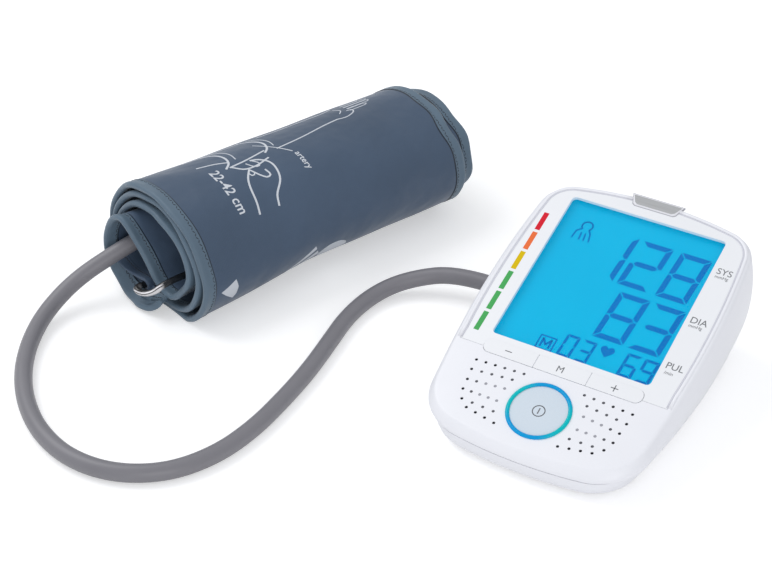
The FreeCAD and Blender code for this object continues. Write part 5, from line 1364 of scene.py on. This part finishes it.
def ink_patch(outline, step=0.8):
    """A printed area: strips that lie along the roll, so that they follow its curve."""
    strips = []
    low, high = min(outline)[0], max(outline)[0]
    count = max(1, int((high - low) / step))
    for i in range(count):
        shape = outline
        for edge, side in ((low + (high - low) * i / count, 1),
                           (low + (high - low) * (i + 1) / count, -1)):
            kept = []
            for (x0, y0), (x1, y1) in zip(shape, shape[1:] + shape[:1]):
                in0, in1 = side * (x0 - edge) >= -1e-9, side * (x1 - edge) >= -1e-9
                if in0:
                    kept.append((x0, y0))
                if in0 != in1:
                    part = (edge - x0) / (x1 - x0)
                    kept.append((edge, y0 + (y1 - y0) * part))
            shape = kept
        if len(shape) > 2:
            strips.append(shape)
    return strips

# %% The drawn arm
# Each line is its width and its places on the flat cloth.
# The arm: upper arm, forearm, palm and thumb.
ARM_LINES = [
    (0.7, [(514.5, 31), (514, 44), (513.5, 60)]),
    (0.7, [(513.5, 70), (513, 88), (511.5, 104), (513.5, 112)]),
    (0.7, [(501, 30.5), (499, 38), (496.4, 44)]),
    (0.7, [(494.5, 69), (496, 84), (498.5, 98), (499.5, 106)]),
    (0.6, [(499.5, 106), (498.8, 111), (500.6, 116), (503.2, 117.5), (504.2, 115)]),
    (0.5, [(503.6, 110.5), (506.5, 113), (510.5, 111.5)])]
FINGER_TIPS = (126.5, 130.0, 130.5, 127.5)
FINGER_ROOT, FIRST_FINGER, FINGER_PITCH = 116.5, 504.4, 3.0
lines = []
for width, places in ARM_LINES:
    lines += ink_line(places, width)
for finger, tip in enumerate(FINGER_TIPS):
    x = FIRST_FINGER + finger * FINGER_PITCH
    lines += ink_line([(x - 1.2, FINGER_ROOT), (x - 1.2, tip - 2.5), (x - 0.7, tip - 0.6), (x, tip),
                       (x + 0.7, tip - 0.6), (x + 1.2, tip - 2.5), (x + 1.2, FINGER_ROOT)],
                      0.5, 0.8)

# %% The drawn cuff and the other hand
# The cuff on the arm: bowed edges, bold on the far side, and its lower edge.
CUFF_LINES = [
    (1.0, [(514.5, 39), (509, 43.5), (502, 45.2), (496, 44), (492.5, 40.5)]),
    (0.5, [(514.5, 43.5), (509, 47.5), (503, 49), (497, 48.4)]),
    (1.0, [(514.5, 60), (509, 65), (503, 67), (497.5, 65.5), (494.5, 62.5)]),
    (0.5, [(514.5, 64.5), (509, 68.5), (503, 70), (498, 69.4)]),
    (0.8, [(492.6, 42.5), (493.8, 52), (496.3, 63)]),
    (0.8, [(492.4, 43), (488.6, 47.5), (488.4, 54), (490.5, 61.5)])]
# The other hand, which holds the end of the cuff: wrist, back of the hand, thumb and fingers.
HAND_LINES = [
    (0.9, [(465.5, 41), (471, 42.4), (478, 43.6), (483, 45.5), (487.5, 49)]),
    (0.9, [(466, 51.5), (471, 53.4), (477, 58.6), (483, 60.5), (488, 60), (491.5, 56.5),
           (492.5, 53)]),
    (0.8, [(487.5, 49), (483, 51.5), (480.4, 54), (481.2, 56.2), (484.5, 55.6)]),
    (0.6, [(491.5, 50), (488.5, 52), (487.6, 54.4), (489.4, 55.6), (492, 53.6)]),
    (0.6, [(485, 50.4), (483.4, 48.6), (485.4, 47.6)])]
# The artery: a thin line from the cuff's edge to its label.
ARTERY_LINE = [(0.5, [(504, 62), (496, 68.5), (489, 73.4)])]
for width, places in CUFF_LINES + HAND_LINES + ARTERY_LINE:
    lines += ink_line(places, width)
print("printed lines:", len(lines))

# %% Printed areas and words of the cuff
INK_LOW, INK_HIGH = CLOTH_HALF - 0.03, CLOTH_HALF + 0.07
WHITE_INK = moulded("white_cloth_ink", (0.62, 0.65, 0.70), 0.7, grain=6000.0, drift=0.03)
DOT_S, DOT_ALONG, DOT_TALL, DOT_WIDE, DOT_SIDES = 432.5, 77.0, 5.6, 8.0, 24
turns = [2 * math.pi * i / DOT_SIDES for i in range(DOT_SIDES)]
# An arrow head, the two bars of the index mark, and the oval dot that marks the artery.
AREAS = [[(444.6, 20.6), (442.8, 16.6), (441.4, 12.6), (439.0, 15.0), (435.0, 19.6), (437.2, 21.2),
          (440.8, 21.9)],
         [(441.6, 65.4), (431.2, 50.2), (429.4, 51.0), (439.4, 66.4)],
         [(437.6, 67.4), (429.0, 55.0), (427.4, 56.6), (434.6, 68.8)],
         [(DOT_S + DOT_TALL * math.cos(a), DOT_ALONG + DOT_WIDE * math.sin(a)) for a in turns]]
areas = [strip for outline in AREAS for strip in ink_patch(outline)]
adopt(slabs("cuff_lines", lines + areas, INK_LOW, INK_HIGH, cloth_point), "cuff_set",
      WHITE_INK)

def ink_place(s, along):
    """Lays words on the cloth from this place on, reading round the roll."""
    return lambda x, y, out: cloth_point(s - x, along + y, INK_HIGH - 0.03 + out)

print_words("cuff_size", [("22-42 cm", 0.0, 0.0, 4.6, 1.04)], ink_place(494.0, 32.0), "cuff_set",
            WHITE_INK, weight=0.09)
print_words("cuff_label", [("artery", 0.0, 0.0, 2.9, 1.05)], ink_place(487.4, 72.4), "cuff_set",
            WHITE_INK, weight=0.06)

# %% [markdown]
# ## Studio
# A pale floor, a bright even surround and two large soft lamps. The white shells need a
# little shade on their sides, so one lamp is stronger than the other. Hard lamps would draw
# sharp shadows, which a product in soft daylight doesn't have.

# %% Floor
FLOOR_HALF, FLOOR_LIFT = 6, 0.42

def floor_finish():
    """Pale matt paper, a little brighter to the eye than to the light that it throws."""
    material, tree, shader = new_material("studio_floor")
    where = tree.nodes.new("ShaderNodeTexCoord")
    slow = noise_node(tree, where, 2.0, 2.0)
    tone = ramp_node(tree, slow, "Fac", (0.80, 0.80, 0.805), (0.81, 0.81, 0.815))
    wire(tree, tone, "Color", shader, "Base Color")
    rays = tree.nodes.new("ShaderNodeLightPath")
    seen = math_node(tree, "MAXIMUM", (rays, "Is Camera Ray"), (rays, "Is Glossy Ray"))
    seen = math_node(tree, "MAXIMUM", (seen, "Value"), (rays, "Is Transmission Ray"))
    lift = math_node(tree, "MULTIPLY", (seen, "Value"), FLOOR_LIFT)
    wire(tree, lift, "Value", shader, "Emission Strength")
    tune(shader, {"Roughness": 0.9, "Specular IOR Level": 0.1, "Emission Color": (1.0, 1.0, 1.0)})
    return material

floor = mesh_piece("floor", [(x * FLOOR_HALF, y * FLOOR_HALF, 0)
                             for x, y in ((-1, -1), (1, -1), (1, 1), (-1, 1))], [(0, 1, 2, 3)])
floor.data.materials.append(floor_finish())

# %% Lamps and surround
def soft_lamp(name, position, target, size, power):
    data = bpy.data.lights.new(name, "AREA")
    data.shape, data.size, data.energy = "SQUARE", size, power
    lamp = bpy.data.objects.new(name, data)
    lamp.location = BASE + Vector(position)
    lamp.rotation_euler = (Vector(target) - Vector(position)).to_track_quat("-Z", "Y").to_euler()
    scene.collection.objects.link(lamp)

soft_lamp("key_lamp", (-0.95, -0.05, 1.15), (-0.12, -0.02, 0), 0.9, 7.5)
soft_lamp("fill_lamp", (0.72, -1.02, 0.45), (0.0, 0.0, 0.03), 0.7, 4.2)
world = bpy.data.worlds.new("studio")
scene.world = world
world.use_nodes = True
tune(world.node_tree.nodes["Background"], {"Color": (0.95, 0.97, 1.0), "Strength": 0.66})
scene.view_settings.view_transform = "Standard"
